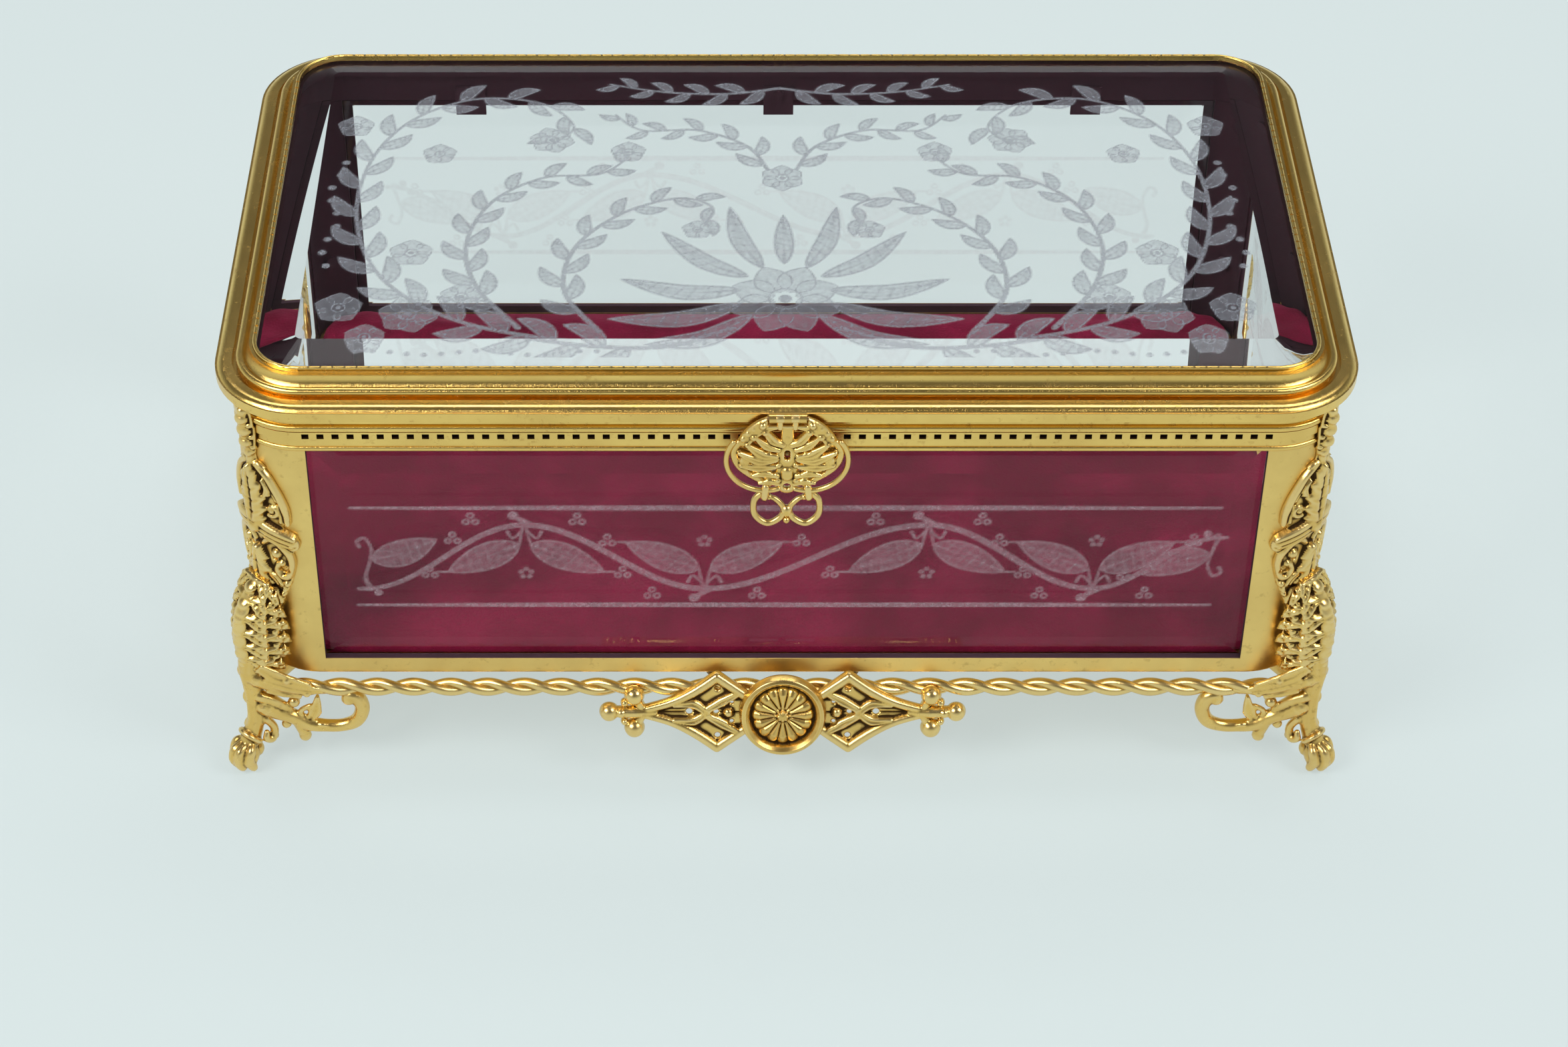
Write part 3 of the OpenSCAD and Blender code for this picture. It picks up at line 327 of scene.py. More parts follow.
def gilt(name, light, dark, rough, grain, hollow_dirt_and_shade=None):
    """The tone given for the recesses paints dirt and shade there, for pieces that know how deep
    they lie.
    """
    kit = Finish(name)
    cloud = kit.noise(38, 4, 0.6)
    fine = kit.noise(420, 3, 0.6)
    lines = kit.noise(900, 2, 0.5, stretch=grain)
    freckle = kit.fit(fine, 0.60, 0.72)
    colour = kit.mix(kit.fit(cloud, 0.35, 0.7) * 0.35 + freckle * 0.35, light, dark)
    roughness = rough + 0.10 * kit.fit(cloud, 0.3, 0.7) + 0.08 * freckle
    if hollow_dirt_and_shade:
        depth = kit.node("Attribute", {"attribute_name": "hollow"}, output="Fac")
        # dark in the hollows: dirt, and painted shade
        grime_and_shade = kit.fit(depth + 0.12 * (fine - 0.5), 0.03, 0.20)
        colour = kit.mix(grime_and_shade, colour, hollow_dirt_and_shade)
        # pale on the high places: wear, and a painted highlight
        rubbed_and_lit = kit.fit(depth, -0.05, -0.25)
        colour = kit.mix(rubbed_and_lit * 0.5, colour, WORN_AND_LIT)
        roughness = roughness + 0.35 * grime_and_shade
    # painted shade inside the walls and in the reveals, where some dirt gathers too
    shaded_inside = painted_inner_shade(kit)
    kit.surface(kit.node("BsdfPrincipled", {}, {
        "Base Color": kit.mix(shaded_inside, colour, INNER_SHADE_TONE), "Metallic": 1.0,
        "Roughness": roughness + 0.3 * shaded_inside,
        "Normal": kit.bump(lines * 0.6 + fine * 0.4, 0.00004)}))
    return kit.made


satin_gilt = gilt("satin_gilt", (0.90, 0.64, 0.215), (0.54, 0.34, 0.10), 0.34, (1, 1, 14))
bright_gilt = gilt("bright_gilt", (0.90, 0.625, 0.19), (0.54, 0.32, 0.08), 0.18, (14, 1, 1))
cast_gilt = gilt("cast_gilt", (0.88, 0.59, 0.175), (0.44, 0.25, 0.065), 0.24, (1, 1, 1),
                 hollow_dirt_and_shade=(0.07, 0.035, 0.012))
dull_brass = gilt("dull_brass", (0.36, 0.23, 0.10), (0.16, 0.10, 0.05), 0.45, (1, 1, 1))

# %% Dressing the frame
FINISHES = {"satin_gilt": satin_gilt, "bright_gilt": bright_gilt, "cast_gilt": cast_gilt,
            "dull_brass": dull_brass}
dressed = 0
for part in frame["record"]["subparts"]:
    if part["material_slot"] in FINISHES:
        dress(nodes[part["node"]], FINISHES[part["material_slot"]])
        dressed += 1
print("gilt pieces of the frame:", dressed)


def set_in(piece, body, slot, *replaced):
    """Finishes a new piece: its material, its body and the frame nodes it stands for."""
    dress(piece, FINISHES[slot])
    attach(piece, body)
    if replaced:
        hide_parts(*replaced)
    return piece

# %% [markdown]
# Every new piece is worked out as plain lists of points and faces, because its shape comes
# from rules and not from pulling at a surface. Four small helpers turn such lists into
# objects and back, so that the pieces themselves hold nothing but their own measures.

# %% Points, faces and objects
def points_of(mesh):
    """The points of a mesh as an array, in metres."""
    flat = np.empty(len(mesh.vertices) * 3)
    mesh.vertices.foreach_get("co", flat)
    return flat.reshape(-1, 3)


def settled(piece):
    """The mesh that an object's modifiers make of it."""
    return bpy.data.meshes.new_from_object(
        piece.evaluated_get(bpy.context.evaluated_depsgraph_get()))


def band(a, b, count):
    """The faces between two rings of points, whose first points are a and b."""
    return [[a + k, a + (k + 1) % count, b + (k + 1) % count, b + k] for k in range(count)]


def solid(name, points_mm, faces):
    """A smooth-shaded object from points in millimetres."""
    mesh = bpy.data.meshes.new(name)
    mesh.from_pydata((np.asarray(points_mm, float) * MM).tolist(), [], faces)
    mesh.validate()
    mesh.shade_smooth()
    made = bpy.data.objects.new(name, mesh)
    bpy.context.scene.collection.objects.link(made)
    print(name, "faces", len(mesh.polygons))
    return made

# %% [markdown]
# Old gilding is worn bright on the high places and keeps dirt and polish in its hollows. The
# castings are painted for both, and for light as well: a painted highlight on the high places
# and painted shade in the hollows. The shader's own pointiness looks no further than the next
# edge of the mesh, which is too near for castings as finely meshed as these. So each casting
# gets a number for every point: how far it lies under the average of the points around it,
# over as many rounds as suit its mesh. The material reads that number.

# %% Hollows and high places
def bright_and_dark(piece, rounds):
    """Stores how deep each point lies in a hollow, in millimetres, as an attribute."""
    mesh = piece.data
    n = len(mesh.vertices)
    co = points_of(mesh) / MM
    normal = np.empty(n * 3)
    mesh.vertex_normals.foreach_get("vector", normal)
    normal = normal.reshape(-1, 3)
    ends = np.empty(len(mesh.edges) * 2, int)
    mesh.edges.foreach_get("vertices", ends)
    a, b = ends.reshape(-1, 2).T
    share = np.maximum(np.bincount(np.concatenate([a, b]), minlength=n), 1)
    soft = co.copy()
    for _ in range(rounds):
        total = np.zeros_like(soft)
        for axis in range(3):
            total[:, axis] = (np.bincount(a, soft[b, axis], n)
                              + np.bincount(b, soft[a, axis], n))
        soft = total / share[:, None]
    depth = ((soft - co) * normal).sum(1)
    attribute = mesh.attributes.new("hollow", "FLOAT", "POINT")
    attribute.data.foreach_set("value", depth)

# %% [markdown]
# The mounts, the apron, the rosette and the hasp are flat-backed castings. Extruded outlines
# would leave their leaves flat, and joining hundreds of small solids is slow and often
# fails. A founder first carves such a pattern as relief in a sheet of wax, and this class
# does the same: it keeps a height for every point of a fine grid, and each tool adds a
# roll, a leaf or a boss. The grid's cells are then cut along the outline, so the silhouette
# is smooth, and the sheet gets a back and side walls.

# %% Curves through points
def through(points, steps=8, closed=False):
    """A smooth curve through given points, as an array."""
    p = np.array(points, float)
    n = len(p)
    if n < 3:
        return p
    out = []
    for i in range(n if closed else n - 1):
        a, b, c, d = (p[(i + k) % n] if closed else p[min(max(i + k, 0), n - 1)]
                      for k in (-1, 0, 1, 2))
        for t in np.linspace(0, 1, steps, endpoint=False):
            out.append(0.5 * (2 * b + (c - a) * t + (2 * a - 5 * b + 4 * c - d) * t * t
                              + (3 * b - a - 3 * c + d) * t ** 3))
    if not closed:
        out.append(p[-1])
    return np.array(out)


def scroll(centre, r0, r1, a0, a1, steps=40):
    """A spiral from radius r0 at angle a0 to radius r1 at angle a1, in degrees."""
    t = np.linspace(0, 1, steps)
    a = np.radians(a0 + (a1 - a0) * t)
    r = r0 + (r1 - r0) * t
    return np.stack([centre[0] + r * np.cos(a), centre[1] + r * np.sin(a)], 1)

# %% Relief carving
class Relief:
    """A sheet of wax: how high it stands at each point, and how far inside the outline."""

    def __init__(self, low, high, step):
        self.X, self.Y = np.meshgrid(np.arange(low[0], high[0] + step, step),
                                     np.arange(low[1], high[1] + step, step), indexing="ij")
        self.inside = np.full(self.X.shape, -9.0)
        self.height = np.zeros(self.X.shape)

    def near(self, path):
        """Distance to a path, the share of its length there, and the signed side."""
        p = np.array(path, float)
        runs = np.hypot(*(p[1:] - p[:-1]).T)
        ends = np.concatenate([[0], np.cumsum(runs)])
        best = np.full(self.X.shape, 1e9)
        share, side = np.zeros(self.X.shape), np.zeros(self.X.shape)
        for (ax, ay), (bx, by), run, start in zip(p[:-1], p[1:], runs, ends):
            if run < 1e-9:
                continue
            ux, uy = (bx - ax) / run, (by - ay) / run
            t = np.clip((self.X - ax) * ux + (self.Y - ay) * uy, 0, run)
            dx, dy = self.X - ax - t * ux, self.Y - ay - t * uy
            d = np.hypot(dx, dy)
            closer = d < best
            best = np.where(closer, d, best)
            share = np.where(closer, (start + t) / ends[-1], share)
            side = np.where(closer, ux * dy - uy * dx, side)
        return best, share, side

    def add(self, inside, height):
        """Lays wax on the sheet; where two strokes meet, the higher one shows."""
        self.inside = np.maximum(self.inside, inside)
        self.height = np.where(inside > 0, np.maximum(self.height, height), self.height)

    def both(self, tool, path, *args, **more):
        """Uses a tool on a path and on its mirror image in x = 0."""
        tool(path, *args, **more)
        tool(np.array(path, float) * (-1, 1), *args, **more)

    def roll(self, path, radius, base=0.0, rise=1.0):
        """A round bar along a path; radius is a list of radii along it."""
        d, share, _ = self.near(path)
        r = np.interp(share, np.linspace(0, 1, len(radius)), radius)
        self.add(r - d, base + rise * r * np.sqrt(np.clip(1 - (d / r) ** 2, 0, 1)))

    def leaf(self, path, widths, base=0.0, rise=1.0, crease=0.35, lobes=0, lobe=0.25):
        """A leaf with a groove along its middle and, if asked, lobed edges."""
        d, share, _ = self.near(path)
        w = np.interp(share, np.linspace(0, 1, len(widths)), widths)
        if lobes:
            w = w * (1 - lobe * np.sin(np.pi * lobes * (share - 0.12 * d / w)) ** 2
                     * np.clip(d / w, 0, 1))
        swell = np.sqrt(np.clip(1 - (d / w) ** 2, 0, 1))
        groove = crease * np.exp(-(d / (0.16 * w + 0.12)) ** 2) * np.sin(np.pi * share) ** 0.5
        veins = 0.0
        if lobes:
            veins = 0.3 * np.clip(np.cos(2 * np.pi * lobes * (share - 0.12 * d / w)), 0, 1) ** 3
        self.add(w - d, base + rise * swell - groove - veins * swell)

    def boss(self, centre, r, base=0.0, rise=1.0):
        """Half a ball."""
        d = np.hypot(self.X - centre[0], self.Y - centre[1])
        self.add(r - d, base + rise * r * np.sqrt(np.clip(1 - (d / r) ** 2, 0, 1)))

    def bosses(self, centres, r, base=0.0, rise=1.0):
        """Bosses and their mirror images."""
        for x, y in centres:
            for s in (-1, 1):
                self.boss((s * x, y), r, base, rise)

    def plate(self, outline, height):
        """A flat sheet with a closed outline."""
        p = np.array(outline, float)
        d, _, _ = self.near(np.concatenate([p, p[:1]]))
        within = np.zeros(self.X.shape, bool)
        for (ax, ay), (bx, by) in zip(p, np.roll(p, -1, 0)):
            if abs(by - ay) < 1e-9:
                continue
            spans = (ay > self.Y) != (by > self.Y)
            within ^= spans & (self.X < (bx - ax) * (self.Y - ay) / (by - ay) + ax)
        self.add(np.where(within, d, -d), height)

    def pierce(self, holes):
        """Round holes, each given as x, y and radius, and their mirror images."""
        for x, y, r in holes:
            for s in (-1, 1):
                d = np.hypot(self.X - s * x, self.Y - y)
                self.inside = np.minimum(self.inside, d - r)

    def cast(self, name, bend, edge):
        """Cuts the outline, adds the back and the walls, and bends the sheet to its place."""
        least = 0.3                 # no casting is thinner than this
        t = np.clip(self.inside / edge, 0, 1)
        height = least + (np.maximum(self.height, least) - least) * (
            0.25 + 0.75 * np.sqrt(np.clip(1 - (1 - t) ** 2, 0, 1)))
        keep = self.inside > 0
        index = np.full(self.X.shape, -1)
        index[keep] = np.arange(keep.sum())
        count = int(keep.sum())
        cells = keep[:-1, :-1].astype(int) + keep[1:, :-1] + keep[1:, 1:] + keep[:-1, 1:]
        i, j = np.nonzero(cells == 4)
        faces = np.stack([index[i, j], index[i + 1, j], index[i + 1, j + 1],
                          index[i, j + 1]], 1).tolist()
        crossings, rim = {}, []

        def crossing(a, b):
            key = (min(a, b), max(a, b))
            if key not in crossings:
                if not keep[a]:
                    a, b = b, a
                t = self.inside[a] / (self.inside[a] - self.inside[b])
                t = min(max(t, 0.02), 0.98)
                rim.append((self.X[a] + t * (self.X[b] - self.X[a]),
                            self.Y[a] + t * (self.Y[b] - self.Y[a]),
                            least + 0.25 * (max(self.height[a], least) - least)))
                crossings[key] = count + len(rim) - 1
            return crossings[key]

        i, j = np.nonzero((cells > 0) & (cells < 4))
        for a, b in zip(i.tolist(), j.tolist()):
            ring = [(a, b), (a + 1, b), (a + 1, b + 1), (a, b + 1)]
            polygon = []
            for here, after in zip(ring, ring[1:] + ring[:1]):
                if keep[here]:
                    polygon.append(int(index[here]))
                if keep[here] != keep[after]:
                    polygon.append(crossing(here, after))
            if len(polygon) >= 3:
                faces.append(polygon)
        front = np.concatenate([np.stack([self.X[keep], self.Y[keep], height[keep]], 1),
                                np.array(rim).reshape(-1, 3)])
        n = len(front)
        rear = front.copy()
        rear[:, 2] = 0
        open_edges = {}
        for f in faces:
            for a, b in zip(f, f[1:] + f[:1]):
                if (b, a) in open_edges:
                    del open_edges[(b, a)]
                else:
                    open_edges[(a, b)] = True
        faces += [[v + n for v in reversed(f)] for f in faces]
        faces += [[b, a, a + n, b + n] for a, b in open_edges]
        flat = np.concatenate([front, rear])
        made = solid(name, np.stack(bend(flat[:, 0], flat[:, 1], flat[:, 2]), 1), faces)
        bright_and_dark(made, 12)
        return made

# %% [markdown]
# A corner mount is one casting of pierced foliage: a beaded stem, a leaf-shaped cartouche
# with a raised rim, a gadrooned shell that curls at its ends, two C-scrolls and an acanthus
# leaf that meets the leg. It could be sculpted in place, but a leaf is much easier to draw
# on a flat sheet. It is carved flat, with its middle line at x = 0, and then bent round the
# corner, so that one carving gives all four.

# %% Round the corner
MOUNT_H = 74.2                      # from the mount's foot on the leg to its top
MOUNT_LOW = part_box("mount_front_left")[1].z / MM - MOUNT_H
# the rail's roll and bead stand out from the corner: heights, and how far the sheet steps out
RAIL_STEPS = [110.5, 112.8, 118.6, 119.5], [0.06, 0.72, 0.72, 1.22]
CORNERS = {"front_left": (-1, -1), "front_right": (1, -1),
           "back_left": (-1, 1), "back_right": (1, 1)}


def on_corner(sx, sy):
    """Bends a flat sheet (across, up, out) round one of the four upright corners."""
    cx, cy = sx * (HALF_L - CORNER_R), sy * (HALF_D - CORNER_R)
    turn = math.atan2(sy, sx)

    def bend(across, up, out):
        a = turn + across / (CORNER_R + 1.0)
        r = CORNER_R + np.interp(up, *RAIL_STEPS) + out
        return cx + r * np.cos(a), cy + r * np.sin(a), up
    return bend

# %% The mount's ground
wax = Relief((-14.2, MOUNT_LOW - 1), (14.2, MOUNT_LOW + MOUNT_H + 0.6), 0.28)


def on_mount(*points):
    """Points given by their distance from the middle and their share of the height."""
    return np.array([(u, MOUNT_LOW + v * MOUNT_H) for u, v in points])


half = [(2.4, 0.004), (5.0, 0.07), (8.0, 0.16), (9.2, 0.2), (10.6, 0.25), (11.2, 0.3),
        (10.4, 0.345), (12.2, 0.38), (12.9, 0.415), (12.0, 0.45), (8.8, 0.475),
        (10.6, 0.51), (11.0, 0.55), (9.6, 0.615), (7.7, 0.67), (6.0, 0.715),
        (2.7, 0.745), (1.6, 0.785), (2.6, 0.85), (2.9, 0.93), (2.0, 0.995)]
wax.plate(through(on_mount(*half, *[(-u, v) for u, v in reversed(half)]), 6, closed=True), 0.7)

# %% Its cartouche: a raised rim, a hollow and a veined leaf
wax.both(wax.roll, through(on_mount((10.3, 0.502), (10.2, 0.55), (8.9, 0.612), (7.0, 0.668),
                                    (5.0, 0.712), (1.6, 0.75))),
         [0.9, 1.15, 1.1, 1.0, 0.9], base=0.9)
wax.both(wax.roll, through(on_mount((8.1, 0.5), (8.2, 0.545), (7.1, 0.6), (5.4, 0.65),
                                    (3.6, 0.69))), [0.6, 0.5, 0.4], base=0.5)
wax.leaf(on_mount((0, 0.47), (0, 0.60), (0, 0.735)), [3.4, 4.6, 4.6, 3.2, 1.2], base=1.0,
         rise=2.5, crease=0.9, lobes=5, lobe=0.3)
wax.both(wax.roll, scroll(on_mount((5.9, 0.55))[0], 2.0, 0.8, -120, 250), [0.75, 0.6, 0.5],
         base=0.9)
wax.bosses(on_mount((5.9, 0.55), (4.9, 0.625)), 0.9, base=0.9)
wax.both(wax.leaf, through(on_mount((3.3, 0.60), (5.0, 0.645), (3.6, 0.685))),
         [0.5, 1.0, 0.3], base=1.0, rise=1.0)

# %% Its shell: three gadroons that sweep out from the middle, and a curl at the end
for k, (a, b, c, r) in enumerate([(0.485, 0.468, 0.437, 1.35), (0.455, 0.44, 0.412, 1.35),
                                  (0.427, 0.414, 0.390, 1.1)]):
    wax.both(wax.roll, through(on_mount((0, a), (4.4, b), (8.4, (b + c) / 2), (11.6, c))),
             [r, r, r * 0.9, r * 0.75], base=1.5 - 0.25 * k)
wax.both(wax.roll, scroll(on_mount((10.9, 0.402))[0], 2.0, 0.7, 100, -260), [0.9, 0.7, 0.5],
         base=1.1)
wax.bosses(on_mount((10.9, 0.402)), 0.8, base=1.5)
wax.boss(on_mount((0, 0.455))[0], 2.2, base=1.7)

# %% Its C-scrolls, with berries inside them
wax.both(wax.roll, through(on_mount((1.6, 0.37), (4.2, 0.405), (7.4, 0.395), (9.9, 0.35),
                                    (10.4, 0.30), (9.0, 0.245), (7.0, 0.235), (5.6, 0.262),
                                    (6.4, 0.295))),
         [0.7, 1.1, 1.2, 1.1, 1.0, 0.8, 0.9], base=0.9)
for u, v, r in ((5.9, 0.345, 1.5), (7.3, 0.302, 1.0), (8.3, 0.205, 1.2), (6.6, 0.145, 0.9)):
    wax.bosses(on_mount((u, v)), r, base=0.75)

# %% Its acanthus, which runs down to the knee
wax.leaf(on_mount((0, 0.345), (0, 0.2), (0, 0.005)), [2.0, 4.0, 4.4, 3.4, 2.2], base=0.9,
         rise=2.6, crease=0.8, lobes=6, lobe=0.35)
for root, bend_at, tip, w in [((2.6, 0.24), (5.2, 0.22), (7.6, 0.165), 1.5),
                              ((2.2, 0.165), (4.2, 0.15), (6.0, 0.10), 1.3),
                              ((1.8, 0.10), (3.2, 0.085), (4.4, 0.045), 1.1)]:
    wax.both(wax.leaf, through(on_mount(root, bend_at, tip)), [0.6 * w, w, w * 0.8, 0.3],
             base=0.8, rise=1.3, crease=0.45)

# %% Its beaded stem, and the holes
wax.roll(on_mount((0, 0.735), (0, 0.992)), [1.3, 1.2, 1.6, 1.5], base=0.9)
for v, r in ((0.795, 1.5), (0.85, 1.9), (0.905, 2.1), (0.96, 1.9)):
    wax.boss(on_mount((0, v))[0], r, base=1.2)
wax.bosses(on_mount((1.75, 0.825), (1.75, 0.877), (1.75, 0.932)), 0.85, base=0.8)
wax.both(wax.leaf, through(on_mount((0.6, 0.742), (2.6, 0.75), (4.6, 0.742))),
         [1.0, 0.9, 0.3], base=0.8, rise=1.0)
wax.pierce([(u, MOUNT_LOW + v * MOUNT_H, r) for u, v, r in (
    (7.4, 0.268, 0.9), (4.7, 0.315, 0.9), (6.4, 0.185, 0.6), (8.9, 0.275, 0.7),
    (4.4, 0.125, 0.55), (9.1, 0.475, 0.5), (7.2, 0.585, 0.5))])

# %% Four mounts from one carving
for corner, (sx, sy) in CORNERS.items():
    set_in(wax.cast("foliage_mount_" + corner, on_corner(sx, sy), edge=0.7),
           "body", "cast_gilt", "mount_" + corner)

# %% [markdown]
# The apron hangs under the front rail and leans outwards at its foot. Two lozenges of
# crossed straps meet a round rosette, and three balls close each end. The straps could be
# bars laid over one another, but a real one is cast in one piece, so straps, balls and
# ground are carved in one sheet. Its right half is drawn, and each tool mirrors it.

# %% Apron
APRON_Y, APRON_Z = -88.3, 22.8      # the middle of the apron
LEAN = math.radians(72)             # how steeply it stands


def on_apron(raised):
    """Sets a flat sheet (across, up, out) on the apron's slope, raised off it or sunk."""
    def bend(across, up, out):
        out = out + raised
        return (across, APRON_Y + up * math.cos(LEAN) - out * math.sin(LEAN),
                APRON_Z + up * math.sin(LEAN) + out * math.cos(LEAN))
    return bend


wax = Relief((-53, -13.5), (53, 13.5), 0.3)
for v in (-1, 1):
    wax.both(wax.plate, through([(9, 0), (12.2, v * 6.2), (18.4, v * 10.4), (25, v * 5.6),
                                 (33, v * 1.8), (39, 0)], 5), 0.9)
    # outer strap: from the rosette to the lozenge's point, then in a long curve to the neck
    wax.both(wax.roll, [(10.6, v * 5.2), (18.6, v * 11.0)], [1.5, 1.6], base=0.9)
    wax.both(wax.roll, through([(18.6, v * 11.0), (25, v * 6.4), (31.6, v * 3.0),
                                (39.6, v * 0.6)]), [1.6, 1.6, 1.4, 1.3], base=0.9)
    # inner straps, which cross one another
    wax.both(wax.leaf, [(12.6, v * 6.0), (21.2, v * 1.0)], [1.2, 1.6, 1.3], base=1.1,
             rise=1.3, crease=0.5)
    wax.both(wax.leaf, through([(21.0, v * -0.6), (25, v * 2.6), (30.6, v * 2.2)]),
             [1.2, 1.5, 0.6], base=1.2, rise=1.2, crease=0.5)
    # side balls of the trefoil
    wax.both(wax.roll, [(39.5, v * 0.5), (41.6, v * 4.6)], [1.3, 1.5], base=0.9)
    wax.bosses([(41.9, v * 5.0)], 2.9, base=0.6)
    wax.bosses([(44.6, v * 2.9)], 1.2, base=1.2)
wax.both(wax.roll, [(36, 0), (47, 0)], [1.0, 1.9, 1.6], base=1.0)
wax.bosses([(49.0, 0)], 2.8, base=0.7)
wax.bosses([(15.3, 0)], 1.5, base=1.0)
wax.bosses([(45.6, 0)], 1.4, base=1.8)
wax.boss((0, 0), 10.8, base=1.0, rise=0.02)
wax.pierce([(14.4, 3.0, 0.55), (14.4, -3.0, 0.55), (18.4, 7.4, 0.8), (18.4, -7.4, 0.8),
            (18.8, 0, 0.7), (26.4, 0, 0.9)])
set_in(wax.cast("strapwork_apron", on_apron(-1.1), edge=0.6), "body", "cast_gilt", "apron")

# %% [markdown]
# The rosette is a second casting, screwed on in front of the apron. It was turned on a
# lathe before it was chased, so it is made the same way: one profile gives the height at
# each distance from the middle, and the angle round the middle cuts the petals into it.

# %% Rosette
ROSETTE_R, PETALS = 12.3, 16
wax = Relief((-12.6, -12.6), (12.6, 12.6), 0.16)
r = np.hypot(wax.X, wax.Y)
turn = np.arctan2(wax.Y, wax.X)
profile = np.interp(r, [0, 1.3, 1.9, 3.0, 6.5, 8.2, 8.8, 9.2, 9.6, 10.6, 11.6, 12.3],
                    [2.6, 2.3, 1.5, 1.5, 1.9, 1.3, 0.5, 0.7, 2.0, 3.0, 2.6, 0.6])
lobe = np.abs(np.cos(PETALS / 2 * turn))
petal = np.clip((r - 1.6) / 1.5, 0, 1) * (r < 9.0)
profile += petal * (0.9 * np.sqrt(lobe) - 0.75) * np.clip((9.2 - r) / 0.8, 0, 1)
profile -= np.where((r > 7.6) & (r < 9.2), 0.7 * (1 - lobe) * (r - 7.6) / 1.6, 0)
profile += 0.3 * np.exp(-((r - 1.7) / 0.5) ** 2) * np.cos(8 * turn)
wax.add(ROSETTE_R - r, profile)
set_in(wax.cast("rosette_boss", on_apron(1.1), edge=0.25), "body", "cast_gilt", "rosette")

# %% [markdown]
# The hasp hangs from the lid's rim by a small pinned barrel. Its pierced plate holds a
# beaded arch, two sprays of leaves, a boss with a slit above it, and a ring of wire. A
# pull of bent wire with two eyes hangs below. The plate is carved like the mounts. Carved
# wires would be flat behind, and their backs show when the hasp swings up, so the wires
# are real tubes.

# %% Tubes and balls
def tube(points, radii, sides=12, closed=False):
    """A round bar along a path in space, with a radius for each point: points and faces."""
    p = np.asarray(points, float)
    n = len(p)
    if len(radii) != n:
        radii = np.interp(np.linspace(0, 1, n), np.linspace(0, 1, len(radii)), radii)
    if closed:
        along = np.roll(p, -1, 0) - np.roll(p, 1, 0)
    else:
        along = np.gradient(p, axis=0)
    along /= np.linalg.norm(along, axis=1)[:, None]
    side = np.cross(along[0], (0, 0, 1) if abs(along[0][2]) < 0.9 else (1, 0, 0))
    rings = []
    for i in range(n):
        side = side - along[i] * (side @ along[i])
        side /= np.linalg.norm(side)
        other = np.cross(along[i], side)
        a = np.linspace(0, 2 * np.pi, sides, endpoint=False)[:, None]
        rings.append(p[i] + radii[i] * (np.cos(a) * side + np.sin(a) * other))
    points = np.concatenate(rings)
    faces = []
    for i in range(n if closed else n - 1):
        faces += band(i * sides, (i + 1) % n * sides, sides)
    if not closed:
        for i, way in ((0, -1), (n - 1, 1)):
            # a rounded cap of two smaller rings and a middle point
            last = i * sides
            for angle in (40, 70):
                c, s = math.cos(math.radians(angle)), math.sin(math.radians(angle))
                ring = p[i] + (rings[i] - p[i]) * c + along[i] * way * radii[i] * s
                start = len(points)
                points = np.concatenate([points, ring])
                faces += [f[::way] for f in band(last, start, sides)]
                last = start
            points = np.concatenate([points, [p[i] + along[i] * way * radii[i]]])
            for k in range(sides):
                faces.append([last + k, last + (k + 1) % sides, len(points) - 1][::way])
    return points, faces


def ball(centre, radius, stretch=(1, 1, 1)):
    """A ball, or an egg where it is stretched: points and faces."""
    points, faces = tube([(0, 0, z) for z in np.cos(np.linspace(math.pi, 0, 7)[1:-1])],
                         np.sin(np.linspace(0, math.pi, 7)[1:-1]))
    # the caps of a tube overshoot a ball's poles, and are set back to them
    points = points / np.maximum(np.linalg.norm(points, axis=1), 1)[:, None]
    return points * radius * np.array(stretch) + np.array(centre), faces


def gather(*shells):
    """Joins points-and-faces pairs into one."""
    points, faces, start = [], [], 0
    for p, f in shells:
        points.append(p)
        faces += [[v + start for v in face] for face in f]
        start += len(p)
    return np.concatenate(points), faces

# %% The hasp's beaded arch
HASP_Y, HASP_Z = -88.3, 129.2       # the middle line of its pin
HASP_T, HASP_DROP = 1.7, 25.0       # how thick its plate is, and how far it hangs


def on_hasp(across, up, out):
    return across, HASP_Y - out, HASP_Z + up


ARCH_R = 15.5


def on_arch(inset, first, last, steps=60):
    """A part of the arch, in degrees, that lies inset from its outer edge."""
    return scroll((0, 1.0 - ARCH_R), ARCH_R - inset, ARCH_R - inset, first, last, steps)


wax = Relief((-17, -27), (17, 1.6), 0.2)
wax.roll(on_arch(2.2, 28, 152), [1.5, 2.2, 2.4, 2.2, 1.5], base=0.5, rise=0.5)
wax.roll(on_arch(3.6, 30, 150), [0.6], base=0.9)
for a in np.linspace(62, 118, 6):
    wax.boss(on_arch(1.5, a, a, 2)[0], 1.05, base=1.3)
for a in (33, 42, 51):
    wax.bosses(on_arch(1.6, a, a, 2)[:1], 1.0, base=0.9, rise=0.7)

# %% Its sprays of leaves
for path, widths, base in [
        ([(1.2, -8.8), (3.6, -7.6), (5.4, -5.0)], [0.9, 1.4, 1.1], 1.0),
        ([(2.4, -10.4), (5.4, -9.2), (8.2, -6.4)], [0.8, 1.4, 0.7], 1.1),
        ([(3.0, -12.6), (6.6, -12.2), (10.6, -8.8)], [0.9, 1.7, 0.8], 1.0),
        ([(3.0, -13.6), (7.4, -14.2), (12.6, -11.4)], [0.9, 1.5, 0.8], 1.2),
        ([(3.2, -16.0), (7.6, -16.4), (12.2, -15.6)], [0.9, 1.6, 0.8], 1.1),
        ([(2.6, -19.4), (5.8, -18.6), (9.0, -19.0)], [0.8, 1.3, 0.6], 1.0),
        ([(2.0, -22.2), (4.6, -21.4), (7.4, -21.8)], [0.7, 1.1, 0.5], 0.9)]:
    wax.both(wax.leaf, through(path), widths, base=base, rise=0.9, crease=0.3)
